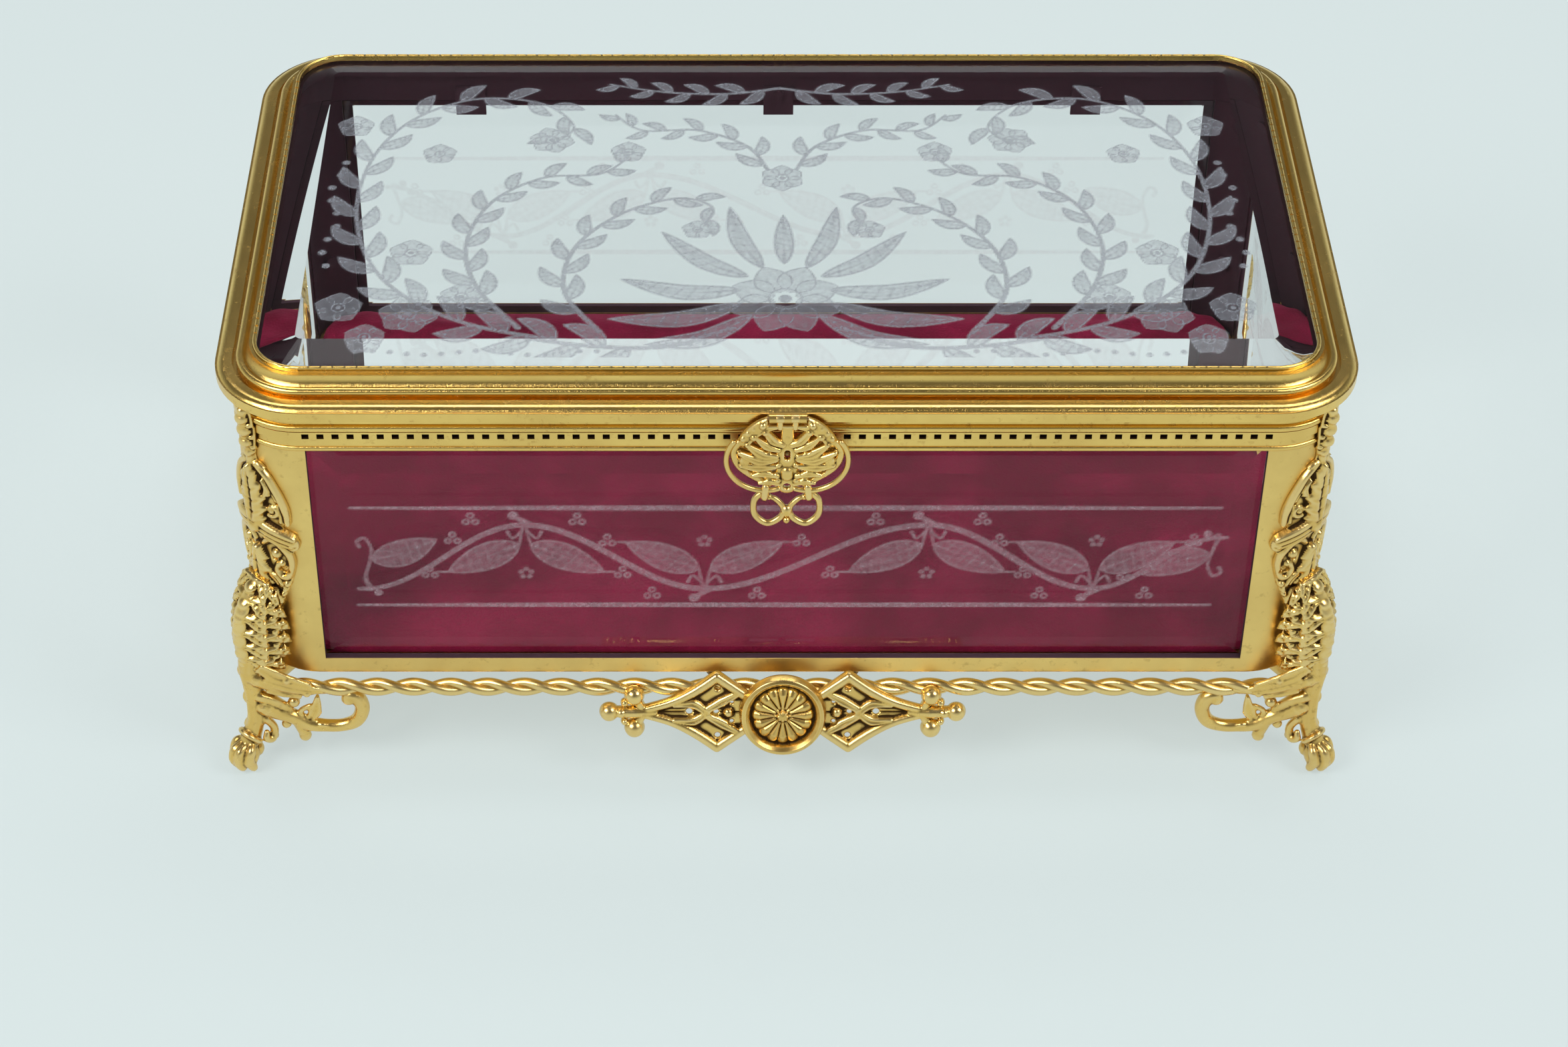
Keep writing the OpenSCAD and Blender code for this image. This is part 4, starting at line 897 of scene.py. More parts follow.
wax.both(wax.roll, through([(12.9, -8.6), (14.2, -12), (12.6, -16.6), (8.6, -20.2),
                            (4.6, -22.8)]), [1.0, 1.1, 1.0, 0.8], base=0.5, rise=0.7)
wax.both(wax.roll, through([(4.8, -11.6), (6.6, -15.4), (5.6, -19.6), (3, -21.2)]),
         [0.7, 0.9, 0.8, 0.6], base=0.7, rise=0.8)
wax.bosses([(5.8, -4.6), (8.9, -6.2)], 1.1, base=1.0)
wax.bosses([(11.2, -14.2)], 1.7, base=0.9, rise=0.6)

# %% Its stem, slit, boss and foot
wax.roll([(0, -1.4), (0, -8)], [2.3, 1.7, 1.9], base=0.5, rise=0.5)
wax.roll([(0, -9.5), (0, -14.4)], [2.6, 2.9, 2.6], base=0.6, rise=0.35)
wax.roll([(0, -17.6), (0, -19.6)], [3.0, 3.0], base=0.5, rise=0.3)
wax.roll([(0, -18.0), (0, -19.2)], [1.7, 1.7], base=0.9, rise=0.8)
wax.roll([(0, -20.5), (0, -23.2)], [2.3, 2.5], base=0.6, rise=0.4)
wax.bosses([(2.3, -15.6), (2.4, -20.9)], 0.9, base=1.0)
wax.inside = np.minimum(wax.inside, wax.near([(0, -11.2), (0, -13.2)])[0] - 0.62)
wax.pierce([(0, -22.8, 0.9), (3.6, -17.7, 0.55), (9.6, -17.9, 0.5)])
# a window left for the barrel
wax.inside = np.minimum(wax.inside, np.maximum(np.abs(wax.X) - 5.2, -2.1 - wax.Y))
plate = wax.cast("hasp_plate", lambda u, v, out: on_hasp(u, v, out - HASP_T / 2), edge=0.4)

# %% Its barrel, ring and pull
PULL_LEAN = math.radians(14)
barrel = []
for x in (-2.0, 2.0):
    barrel.append(tube([(x - 0.92, 0, 0), (x + 0.92, 0, 0)], [1.2, 1.2], 20))
    barrel.append(tube([(x, -0.6, 0.1), (x, -3.0, 0.1)], [0.85, 0.85], 8))
ring = [np.array([(s * (16.2 - 10.4 + 10.4 * math.cos(a)), -14.1 + 10.4 * math.sin(a), 0.1)
                  for a in np.radians(np.linspace(-110, 36, 30))]) for s in (-1, 1)]
wires = [tube(r, [0.75], 10) for r in ring]


def hang(points):
    """Leans the pull outwards at its foot and moves it below the plate."""
    p = np.asarray(points, float)
    c, s = math.cos(PULL_LEAN), math.sin(PULL_LEAN)
    return np.stack([p[:, 0], -HASP_DROP - 4.5 + p[:, 1] * c + p[:, 2] * s,
                     0.4 - p[:, 1] * s + p[:, 2] * c], 1)


pull = []
for s in (-1, 1):
    eye = through([(s * 6.4, 4.0, 0), (s * 8.6, 1.6, 0), (s * 8.5, -2.6, 0),
                   (s * 5.2, -5.2, 0), (s * 1.6, -3.4, 0), (s * 0.9, -0.6, 0),
                   (s * 2.9, 1.9, 0), (s * 4.6, 2.6, 0)])
    pull.append(tube(hang(eye), [0.95, 0.9, 0.9, 0.9, 0.8, 0.6], 10))
    pull.append(ball(hang([(s * 4.7, 2.6, 0)])[0], 0.9))
pull.append(ball(hang([(0, -1.6, 0)])[0], 1.7, (1, 1.2, 0.8)))
pull.append(ball(hang([(0, -4.3, 0)])[0], 1.0))
lugs = [tube([(s * 5.6, -23.4, 0), (s * 5.9, -26.6, 0.2)], [1.1, 1.2], 10) for s in (-1, 1)]
points, faces = gather(*barrel, *wires, *pull, *lugs)
wire_work = solid("hasp_wire_and_pull", np.stack(on_hasp(*points.T), 1), faces)
bright_and_dark(wire_work, 2)
set_in(plate, "hasp", "cast_gilt", "hasp")
set_in(wire_work, "hasp", "cast_gilt")

# %% [markdown]
# Each leg is cast in one piece: a cabriole shank whose shoulder is wrapped in leaves, a
# foot of rolled toes, and on both sides a bracket of bent stems that ends in a thick hook.
# Such a branching thing has no front to carve it from, and booleans leave its joints hard.
# Rods, balls and leaves are laid into one another and then melted together by a voxel
# remesh, which leaves the soft joints of a casting. One leg is made for a corner whose
# round edge has its middle at the origin, and is then turned to the four corners.

# %% Leaves and melting
def blade(path, widths, thick, crease, facing):
    """A leaf-shaped bar: a flattened tube with a groove along the side that faces out."""
    p = np.asarray(path, float)
    n = len(p)
    widths = np.interp(np.linspace(0, 1, n), np.linspace(0, 1, len(widths)), widths)
    along = np.gradient(p, axis=0)
    along /= np.linalg.norm(along, axis=1)[:, None]
    sides = 12
    rings = []
    for i in range(n):
        across = np.cross(along[i], facing)
        across /= np.linalg.norm(across)
        up = np.cross(across, along[i])
        for k in range(sides):
            a = 2 * math.pi * k / sides
            x = widths[i] * math.cos(a)
            y = thick * math.sin(a) - crease * thick * max(0, math.sin(a)) ** 8
            rings.append(p[i] + x * across + y * up)
    faces = []
    for i in range(n - 1):
        faces += band(i * sides, (i + 1) * sides, sides)
    faces.append(list(range(sides))[::-1])
    faces.append([(n - 1) * sides + k for k in range(sides)])
    return np.array(rings), faces


def on_diagonal(points):
    """(s, across, z) to x, y, z: s runs out along the diagonal of the corner."""
    p = np.asarray(points, float)
    c = math.sqrt(0.5)
    return np.stack([(p[:, 0] - p[:, 1]) * c, (p[:, 0] + p[:, 1]) * c, p[:, 2]], 1)


def melt(name, shells, voxel_mm, soften):
    """Fuses shells into one skin and returns its points in millimetres and its faces."""
    lump = solid(name, *gather(*shells))
    recipe = bmesh.new()
    recipe.from_mesh(lump.data)
    bmesh.ops.recalc_face_normals(recipe, faces=recipe.faces)
    recipe.to_mesh(lump.data)
    recipe.free()
    remesh = lump.modifiers.new("remesh", "REMESH")
    remesh.mode, remesh.voxel_size = "VOXEL", voxel_mm * MM
    smooth = lump.modifiers.new("smooth", "SMOOTH")
    smooth.factor, smooth.iterations = 0.5, soften
    done = settled(lump)
    bpy.data.objects.remove(lump)
    points, skin = points_of(done) / MM, [list(f.vertices) for f in done.polygons]
    bpy.data.meshes.remove(done)
    return points, skin

# %% [markdown]
# The shoulder carries the mount's foliage on. It is carved as a sheet like the mount, with a
# beaded spine, two rows of lobed leaves on each side and small holes between them, and is
# then bent over the knee. Two curves say how far out the sheet lies at each height and how
# wide it is there. The shank, the toes and the brackets are melted together underneath it.

# %% Knee
KNEE_LOW, KNEE_HIGH = 30.5, 66.2
KNEE_BACK = 19.6                    # how far out the edges of the sheet end
KNEE_OUT = ([30.5, 34, 38, 42.6, 47.5, 52.5, 57, 62, 66.2],
            [27.2, 28.2, 29.4, 30.2, 30.4, 30.1, 28.8, 25.6, 22.4])
KNEE_WIDE = [30.5, 36, 45, 58, 66.2], [4.0, 5.6, 6.6, 6.4, 5.8]
LEAF_REACH = 0.82, 0.95, 1.0, 1.0, 0.98, 0.86, 0.66

wax = Relief((-11.5, 0), (11.5, KNEE_HIGH - KNEE_LOW), 0.3)
wax.both(wax.plate, [(-0.2, 35.7), (3.4, 35.7), (6.0, 32), (8.2, 26), (8.6, 14), (6.6, 6),
                     (4.4, 1.4), (-0.2, 0.6)], 0.7)
for k, reach in enumerate(LEAF_REACH):
    y = 35.2 - 4.9 * k
    inner = through([(0.8, y), (3.4 * reach, y - 0.6), (5.6 * reach, y - 4.4)])
    outer = through([(4.6 * reach, y - 1.8), (7.8 * reach, y - 2.6), (10.4 * reach, y - 6.6)])
    wax.both(wax.leaf, outer, [0.9, 1.9, 1.5, 0.4], base=0.7, rise=1.3, crease=0.6, lobes=3)
    wax.both(wax.leaf, inner, [1.0, 2.1, 1.7, 0.5], base=1.0, rise=1.7, crease=0.7, lobes=3)
    wax.bosses([(3.3 * reach, y - 4.2)], 1.0, base=1.0)
    wax.bosses([(7.6 * reach, y - 5.4)], 0.8, base=0.8)
    if k < 6:
        wax.pierce([(5.2 * reach, y - 5.6, 0.95), (-5.2 * reach, y - 5.6, 0.95),
                    (8.6 * reach, y - 2.0, 0.7), (-8.6 * reach, y - 2.0, 0.7)])
wax.roll([(0, 35.6), (0, 1)], [1.3, 1.9, 2.0, 1.9, 1.4], base=1.2)
for k in range(8):
    wax.boss((0, 33.4 - 4.3 * k), 1.5, base=2.0)


def on_knee(u, up, out):
    """Bends the sheet over the knee: s and across, as an ellipse that changes with z."""
    z = KNEE_LOW + up
    front = np.interp(z, *KNEE_OUT) - 2.4
    a = np.radians(np.clip(u / 9.6, -1.2, 1.2) * 92)
    side = np.interp(z, *KNEE_WIDE)
    s = KNEE_BACK + (front - KNEE_BACK + out) * np.cos(a)
    return s, (side + out) * np.sin(a), z

# %% Shank
shells = []


def rod(path, radii, sides=12):
    """A bar of the leg, by (out along the diagonal, across it, height)."""
    path = through(path, 4) if len(path) > 2 else path
    shells.append(tube(on_diagonal(path), radii, sides))


def berries(*places):
    """Balls, in pairs where they lie off the diagonal."""
    for s, across, z, r in places:
        for side in ((-1, 1) if across else (1,)):
            shells.append(ball(on_diagonal([(s, side * across, z)])[0], r))


rod([(26.2, 0, 42.0), (27.2, 0, 36.0), (27.2, 0, 30.0), (26.8, 0, 23.0), (27.4, 0, 15.5),
     (30.2, 0, 9.2)], [3.4, 3.6, 3.0, 2.7, 2.6, 2.6, 3.0])
rod([(29.6, 0, 34.0), (29.4, 0, 30.0), (29.0, 0, 23.0), (29.7, 0, 15.0), (31.8, 0, 9.8)],
    [1.4, 1.0, 0.9, 0.8, 0.6], sides=8)
rod([(19.6, 0, 66.0), (21.6, 0, 60), (24.4, 0, 52), (25.4, 0, 44), (25.6, 0, 36)],
    [1.4, 1.6, 2.4, 2.8, 3.2])
rod([(10.4, 0, 29.4), (17.0, 0, 29.4), (22, 0, 30.0), (27, 0, 33.4)], [2.4, 3.4, 4.0, 3.6])

# %% Foot: an ankle ring, rolled toes, and a curl and a bud inside the ankle
ring = [(30.0 + 2.0 * math.cos(a), 3.2 * math.sin(a), 10.8 + 2.2 * math.cos(a))
        for a in np.linspace(0, 2 * math.pi, 20, endpoint=False)]
shells.append(tube(on_diagonal(ring), [0.85], 8, closed=True))
berries((32.4, 0, 5.1, 4.2), (28.6, 0, 4.8, 2.5))
for side, reach in ((-3.3, 32.0), (-1.1, 34.2), (1.1, 34.2), (3.3, 32.0)):
    rod([(30.8, side * 0.55, 9.6), (reach + 0.7, side, 8.2), (reach + 1.7, side, 5.0),
         (reach + 0.5, side, 2.0)], [0.8, 1.35, 1.5, 1.3], sides=10)
for side in (-1, 1):
    rod([(25.6, side * 2.4, 16.0), (24.2, side * 3.8, 12.6), (25.6, side * 4.6, 9.8),
         (27.6, side * 4.4, 10.8), (27.0, side * 4.0, 12.6)], [1.3, 1.3, 1.1, 0.9], sides=8)
    berries((24.0, 3.6, 9.4, 1.25))
# stems behind the sheet that tie it to the corner
for z, s in ((58, 22.0), (49, 24.0), (40, 24.4)):
    for side in (-1, 1):
        rod([(s, side * 1.4, z), (20.6, side * 4.0, z - 1), (18.8, side * 4.6, z - 2)],
            [1.3, 1.0, 1.0], sides=8)

# %% Brackets
def beside(points, swap):
    """(along the face from the corner, out from it, height), on one face or the other."""
    p = np.asarray(points, float)
    a, b = CORNER_R - p[:, 0], CORNER_R + p[:, 1]
    return np.stack([b, a, p[:, 2]] if swap else [a, b, p[:, 2]], 1)


OUT = 1.4                           # how far the branch stands out from the faces
for swap in (False, True):
    facing = (1, 0, 0) if swap else (0, 1, 0)

    def stem(path, radii, sides=10):
        path = through(path, 4) if len(path) > 2 else path
        shells.append(tube(beside(path, swap), radii, sides))

    def frond(path, widths, thick):
        shells.append(blade(beside(through(path, 4), swap), widths, thick, 0.5, facing))

    def knob(along, out, z, r):
        shells.append(ball(beside([(along, out, z)], swap)[0], r))

    # the shoulder of leaves that runs out along the rope
    frond([(1.6, 4.6, 38.6), (5.6, 4.4, 35.0), (10.4, 3.8, 32.0), (15.6, 3.0, 30.2)],
          [1.6, 2.4, 2.0, 0.5], 1.2)
    frond([(3.0, 4.6, 34.0), (8.0, 4.2, 31.2), (14.0, 3.4, 28.8), (20.0, 2.4, 27.8)],
          [1.6, 2.2, 1.8, 0.5], 1.2)
    frond([(3.2, 4.0, 29.6), (7.6, 3.6, 28.0), (12.6, 3.2, 25.8)], [1.4, 1.8, 0.5], 1.0)
    stem([(0.5, 3.0, 33.0), (6, 2.4, 30.0), (13, 1.6, 28.2), (20, 1.2, 27.5)],
         [2.6, 2.4, 2.2, 1.8])
    knob(9.0, 4.6, 33.2, 1.0)
    knob(14.2, 3.6, 27.4, 1.1)
    # the branch and its hook
    stem([(2.0, 2.4, 21.4), (5.0, OUT, 18.8), (9.0, OUT, 16.8), (13.6, OUT, 13.8),
          (18.6, OUT, 13.0), (23.4, OUT, 13.2), (27.4, OUT, 15.2), (29.2, OUT, 19.6),
          (28.4, OUT, 23.6), (26.2, OUT, 25.0), (25.0, OUT, 23.6)],
         [2.8, 2.6, 2.3, 2.2, 1.9, 1.9, 2.1, 2.2, 2.2, 2.0, 1.7], 12)
    stem([(0.8, 2.6, 25.6), (4.6, 2.2, 23.4), (8.6, OUT, 19.4)], [1.9, 1.7, 1.2])
    knob(25.6, OUT, 23.8, 2.2)
    # above the branch a frond, a bud and a twig, and below it the knobs
    frond([(13.4, OUT, 14.8), (15.8, OUT + 0.5, 19.0), (16.8, OUT, 24.6)], [1.2, 2.0, 0.5], 1.1)
    stem([(7.4, OUT, 17.6), (9.0, OUT, 20.6), (9.8, OUT, 22.2)], [1.3, 0.9, 1.1])
    knob(10.0, OUT, 22.4, 1.8)
    stem([(12.4, OUT, 15.2), (11.6, OUT, 18.6), (14.4, OUT, 20.8)], [1.2, 0.9, 0.7])
    stem([(11.0, OUT, 14.6), (12.2, OUT, 9.6)], [2.1, 1.6])
    knob(12.2, OUT, 9.3, 1.9)
    knob(7.2, OUT, 13.8, 1.5)
    frond([(14.0, OUT, 12.6), (17.4, OUT + 0.9, 13.6), (21.0, OUT, 12.8)], [0.8, 1.6, 0.5], 1.5)

# %% One leg for four corners
skin, faces = melt("leg", shells, 0.4, 1)
skin[:, 2] = np.maximum(skin[:, 2], 0.0)
# nothing enters the corner of the frame or the rail above the tongue
r = np.maximum(np.hypot(skin[:, 0], skin[:, 1]), 1e-6)
CLEAR_R, TONGUE_Z = CORNER_R + 0.12, 31.9
push = np.where((skin[:, 2] > TONGUE_Z) & (r < CLEAR_R), CLEAR_R / r, 1.0)
skin[:, :2] *= push[:, None]
lower = solid("lower_leg", skin, faces)
bright_and_dark(lower, 8)
knee = wax.cast("knee", lambda *p: on_diagonal(np.stack(on_knee(*p), 1)).T, edge=0.5)
cast_leg = bmesh.new()
for part in (lower, knee):
    cast_leg.from_mesh(part.data)
    bpy.data.objects.remove(part)
for corner, (sx, sy) in CORNERS.items():
    turn = Matrix.Rotation(math.atan2(sy, sx) - math.pi / 4, 4, "Z")
    at = Matrix.Translation((sx * (HALF_L - CORNER_R) * MM, sy * (HALF_D - CORNER_R) * MM, 0))
    mesh = bpy.data.meshes.new("cabriole_leg_" + corner)
    cast_leg.to_mesh(mesh)
    mesh.transform(at @ turn)
    mesh.shade_smooth()
    leg = bpy.data.objects.new(mesh.name, mesh)
    bpy.context.scene.collection.objects.link(leg)
    set_in(leg, "body", "cast_gilt", "leg_" + corner)
cast_leg.free()

# %% [markdown]
# Under the lower rail runs a rope of two cast strands. A strand that follows a rule is a
# job for Geometry Nodes: a spiral with as many turns as the length holds, a round section
# swept along it, and a half turn between the two strands. A screw modifier would do one
# length, but here the tree has named inputs for its sizes, and one tree serves the long
# and the short sides.

# %% Node trees for what follows a rule
class Tree:
    """A geometry node tree with named inputs, built node by node."""

    def __init__(self, name, sizes):
        self.tree = bpy.data.node_groups.new(name, "GeometryNodeTree")
        self.sizes = {}
        self.tree.interface.new_socket("Geometry", in_out="INPUT",
                                       socket_type="NodeSocketGeometry")
        for label, (kind, value) in sizes.items():
            item = self.tree.interface.new_socket(label, in_out="INPUT",
                                                  socket_type="NodeSocket" + kind)
            item.default_value = value
            self.sizes[label] = item.identifier
        self.tree.interface.new_socket("Geometry", in_out="OUTPUT",
                                       socket_type="NodeSocketGeometry")
        self.given = self.tree.nodes.new("NodeGroupInput")

    def size(self, label):
        return self.given.outputs[label]

    def node(self, kind, settings=None, inputs=None):
        n = self.tree.nodes.new(kind)
        for key, value in (settings or {}).items():
            setattr(n, key, value)
        for key, value in (inputs or {}).items():
            if isinstance(value, bpy.types.NodeSocket):
                self.tree.links.new(value, n.inputs[key])
            else:
                n.inputs[key].default_value = value
        return n

    def math(self, operation, a, b):
        return self.node("ShaderNodeMath", {"operation": operation}, {0: a, 1: b}).outputs[0]

    def close(self, geometry, material):
        """Ends the tree in real meshes with their material."""
        real = self.node("GeometryNodeRealizeInstances", {}, {"Geometry": geometry})
        dressed = self.node("GeometryNodeSetMaterial", {}, {
            "Geometry": real.outputs[0], "Material": material})
        end = self.tree.nodes.new("NodeGroupOutput")
        self.tree.links.new(dressed.outputs[0], end.inputs[0])

    def grow(self, name, **sizes):
        """Runs the tree once on an object and returns a plain mesh object."""
        made = bpy.data.objects.new(name, bpy.data.meshes.new(name))
        bpy.context.scene.collection.objects.link(made)
        modifier = made.modifiers.new("nodes", "NODES")
        modifier.node_group = self.tree
        for label, value in sizes.items():
            modifier[self.sizes[label]] = value
        made.update_tag()
        done = settled(made)
        made.modifiers.clear()
        made.data = done
        print(name, "faces", len(done.polygons))
        return made

# %% Rope rail
def twisted_rope():
    tree = Tree("twisted_rope", {
        "length": ("Float", 0.28), "pitch": ("Float", 0.0208), "strand": ("Float", 0.00146),
        "offset": ("Float", 0.00116)})
    turns = tree.math("DIVIDE", tree.size("length"), tree.size("pitch"))
    helix = tree.node("GeometryNodeCurveSpiral", {}, {
        "Resolution": 24, "Rotations": turns, "Start Radius": tree.size("offset"),
        "End Radius": tree.size("offset"), "Height": tree.size("length"), "Reverse": True})
    round_bar = tree.node("GeometryNodeCurvePrimitiveCircle", {}, {
        "Resolution": 10, "Radius": tree.size("strand")})
    strand = tree.node("GeometryNodeCurveToMesh", {}, {
        "Curve": helix.outputs[0], "Profile Curve": round_bar.outputs[0], "Fill Caps": True})
    other = tree.node("GeometryNodeTransform", {}, {
        "Geometry": strand.outputs[0], "Rotation": (0, 0, math.pi)})
    both = tree.node("GeometryNodeJoinGeometry")
    tree.tree.links.new(strand.outputs[0], both.inputs[0])
    tree.tree.links.new(other.outputs[0], both.inputs[0])
    shade = tree.node("GeometryNodeSetShadeSmooth", {}, {"Geometry": both.outputs[0]})
    tree.close(shade.outputs[0], cast_gilt)
    return tree


rope_tree = twisted_rope()
ROPE_LIFT = 0.4                     # closes most of the gap under the lower rail

for side in ("front", "back", "left", "right"):
    low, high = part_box("rope_" + side)
    middle = (low + high) / 2
    along_x = side in ("front", "back")
    length = (high - low).x if along_x else (high - low).y
    rope = rope_tree.grow("rope_" + side + "_strands", length=length)
    quarter = math.pi / 2
    turn = Matrix.Rotation(quarter, 4, "Y") if along_x else Matrix.Rotation(-quarter, 4, "X")
    middle.z += ROPE_LIFT * MM
    # the mesh itself moves, so that the object stays at the origin
    rope.data.transform(
        Matrix.Translation(middle) @ turn @ Matrix.Translation((0, 0, -length / 2)))
    rope.data.update()
    bright_and_dark(rope, 3)
    set_in(rope, "body", "cast_gilt", "rope_" + side)

# %% [markdown]
# The floor of the casket is a thin pad covered in crimson velvet. A stuffed thing is best
# shaped by what shapes the real one. A bevelled slab looks like a board and a sculpted one
# like dough, but a closed skin with pressure inside finds the right crown by itself, and
# cloth simulation works it out. The underside is pinned, because it lies flat on its
# board. The skin starts a little smaller than its place, and how far each point may move
# is capped, so that it never meets the glass.

# %% The pad's skin
PAD_CORNER = 12.0                   # the radius of its corners
PAD_VOXEL = 3.0                     # the size of the skin's faces
CROWN = 1.3                         # the height left free for the swelling


def rounded(a, b, corner):
    """A rectangle from corner a to corner b with its corners rounded, in steps of 11 degrees."""
    outline = []
    for k, (sx, sy) in enumerate(((1, 1), (-1, 1), (-1, -1), (1, -1))):
        cx, cy = (b.x if sx > 0 else a.x) - sx * corner, (b.y if sy > 0 else a.y) - sy * corner
        for t in np.linspace(0, 90, 9):
            turn = math.radians(90 * k + t)
            outline.append((cx + corner * math.cos(turn), cy + corner * math.sin(turn)))
    return outline


def pad_skin(name, low, high):
    """A slab with round corners and a soft edge, a little smaller than its place."""
    slim = Vector((0.6, 0.6, 0.0))
    a, b = low / MM + slim, high / MM - slim - Vector((0, 0, CROWN))
    outline = rounded(a, b, PAD_CORNER)
    n = len(outline)
    rings = []
    for z, inset in ((a.z, 1.2), (a.z + 0.5, 0.2), (a.z + 2.4, 0), (b.z - 2.4, 0),
                     (b.z - 0.8, 0.7), (b.z, 2.6)):
        rings.append([(x - math.copysign(inset, x), y - math.copysign(inset, y), z)
                      for x, y in outline])
    faces = [list(range(n))[::-1], [(len(rings) - 1) * n + k for k in range(n)]]
    for i in range(len(rings) - 1):
        faces += band(i * n, (i + 1) * n, n)
    pad = solid(name, [p for ring in rings for p in ring], faces)
    remesh = pad.modifiers.new("remesh", "REMESH")
    remesh.mode, remesh.voxel_size = "VOXEL", PAD_VOXEL * MM
    skin = settled(pad)
    pad.modifiers.clear()
    pad.data = skin
    return pad

# %% Its stuffing
PAD_SWELL = 2.2                     # the furthest that a point of the skin may move
PINNED = 1.8                        # the skin is held up to this height above its board
SETTLE_STEPS = 20                   # frames until pressure and cloth are in balance
WAVES, STIFF_EDGE = 0.3, 12         # how uneven the stuffing is, and how far in it is even
CLOTH = {"quality": 6, "mass": 0.25, "tension_stiffness": 12, "compression_stiffness": 12,
         "bending_stiffness": 1.2, "use_pressure": True, "uniform_pressure_force": 4,
         "vertex_group_mass": "board"}


def blown_up(pad, board):
    """Where the skin's points go under pressure; those near the board's height are pinned."""
    before = points_of(pad.data)
    pinned = pad.vertex_groups.new(name="board")
    pinned.add(np.nonzero(before[:, 2] < board + PINNED * MM)[0].tolist(), 1.0, "REPLACE")
    cloth = pad.modifiers.new("cloth", "CLOTH")
    for key, value in CLOTH.items():
        setattr(cloth.settings, key, value)
    cloth.settings.effector_weights.gravity = 0
    for step in range(1, SETTLE_STEPS + 1):
        bpy.context.scene.frame_set(step)
    after = points_of(pad.evaluated_get(bpy.context.evaluated_depsgraph_get()).to_mesh())
    pad.modifiers.clear()
    pad.vertex_groups.clear()
    bpy.context.scene.frame_set(1)
    return after


def stuff(pad, low, high):
    """Swells a pad's skin within its place and rounds its faces off."""
    before = points_of(pad.data)
    move = blown_up(pad, low.z) - before
    far = np.linalg.norm(move, axis=1)
    after = before + move * np.minimum(1, PAD_SWELL * MM / np.maximum(far, 1e-9))[:, None]
    # the stuffing settles unevenly, more so in the middle than at the stiff edge
    edge = np.minimum(np.minimum(after[:, 0] - low.x, high.x - after[:, 0]),
                      np.minimum(after[:, 1] - low.y, high.y - after[:, 1])) / MM
    top = after[:, 2] > (low.z + high.z) / 2
    waves = (0.5 * np.sin(after[:, 0] * 61 + 1.3 * np.sin(after[:, 1] * 47))
             + 0.4 * np.sin(after[:, 1] * 83 + 1.7 * np.sin(after[:, 0] * 29 + 2)))
    after[top, 2] += (waves * np.clip(edge / STIFF_EDGE, 0, 1) * WAVES * MM)[top]
    margin = 0.05 * MM
    after = np.clip(after, np.array(low) + margin, np.array(high) - margin)
    pad.data.vertices.foreach_set("co", after.ravel())
    pad.data.update()
    finer = pad.modifiers.new("finer", "SUBSURF")
    finer.levels = finer.render_levels = 1
    done = settled(pad)
    pad.modifiers.clear()
    pad.data = done
    done.shade_smooth()
    print(pad.name, "faces", len(done.polygons), "moved mm", round(float(far.max()) / MM, 2))

# %% [markdown]
# Velvet is dark where one looks into the pile and pale where light grazes its tips. Real
# hairs would do it, but hundreds of thousands of them are too many for a small part, and
# the sheen of the shader does it as well. Brushed patches, where the pile lies another
# way, are clouds of a second tone, and fine noise stands for the tufts.

# %% Crimson velvet
kit = Finish("crimson_velvet")
brushed = kit.noise(34, 3, 0.6)
tufts = kit.noise(1500, 2, 0.5)
pile = kit.mix(kit.fit(brushed, 0.38, 0.66), (0.115, 0.003, 0.018), (0.20, 0.007, 0.036))
pile = kit.mix(kit.fit(tufts, 0.3, 0.7) * 0.35, pile, (0.06, 0.001, 0.010))
kit.surface(kit.node("BsdfPrincipled", {}, {
    "Base Color": pile, "Roughness": 0.92, "Specular IOR Level": 0.08,
    "Sheen Weight": 0.22, "Sheen Roughness": 0.45, "Sheen Tint": (0.85, 0.16, 0.30),
    "Normal": kit.bump(tufts * 0.7 + brushed * 0.5, 0.0003)}))
FINISHES["crimson_velvet"] = kit.made

# %% Velvet pad
low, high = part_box("velvet_pad")
pad = pad_skin("velvet_floor_pad", low, high)
stuff(pad, low, high)
set_in(pad, "body", "crimson_velvet", "velvet_pad")

# %% [markdown]
# The decoration in the panes is cut and left matt, so it catches light that the clear glass
# lets through. Painted into the glass material, a drawing this fine would need a picture
# file. It is kept apart from the glass instead: a skin a few hundredths of a millimetre in
# front of the pane, whose points know how matt they are. The drawing is done on a fine grid
# with a few tools, a line, a leaf and a dot, and only the grid's touched cells become faces.

# %% Drawing on glass
SOFT_RIM = 0.35                     # how far a cut fades out at its edge


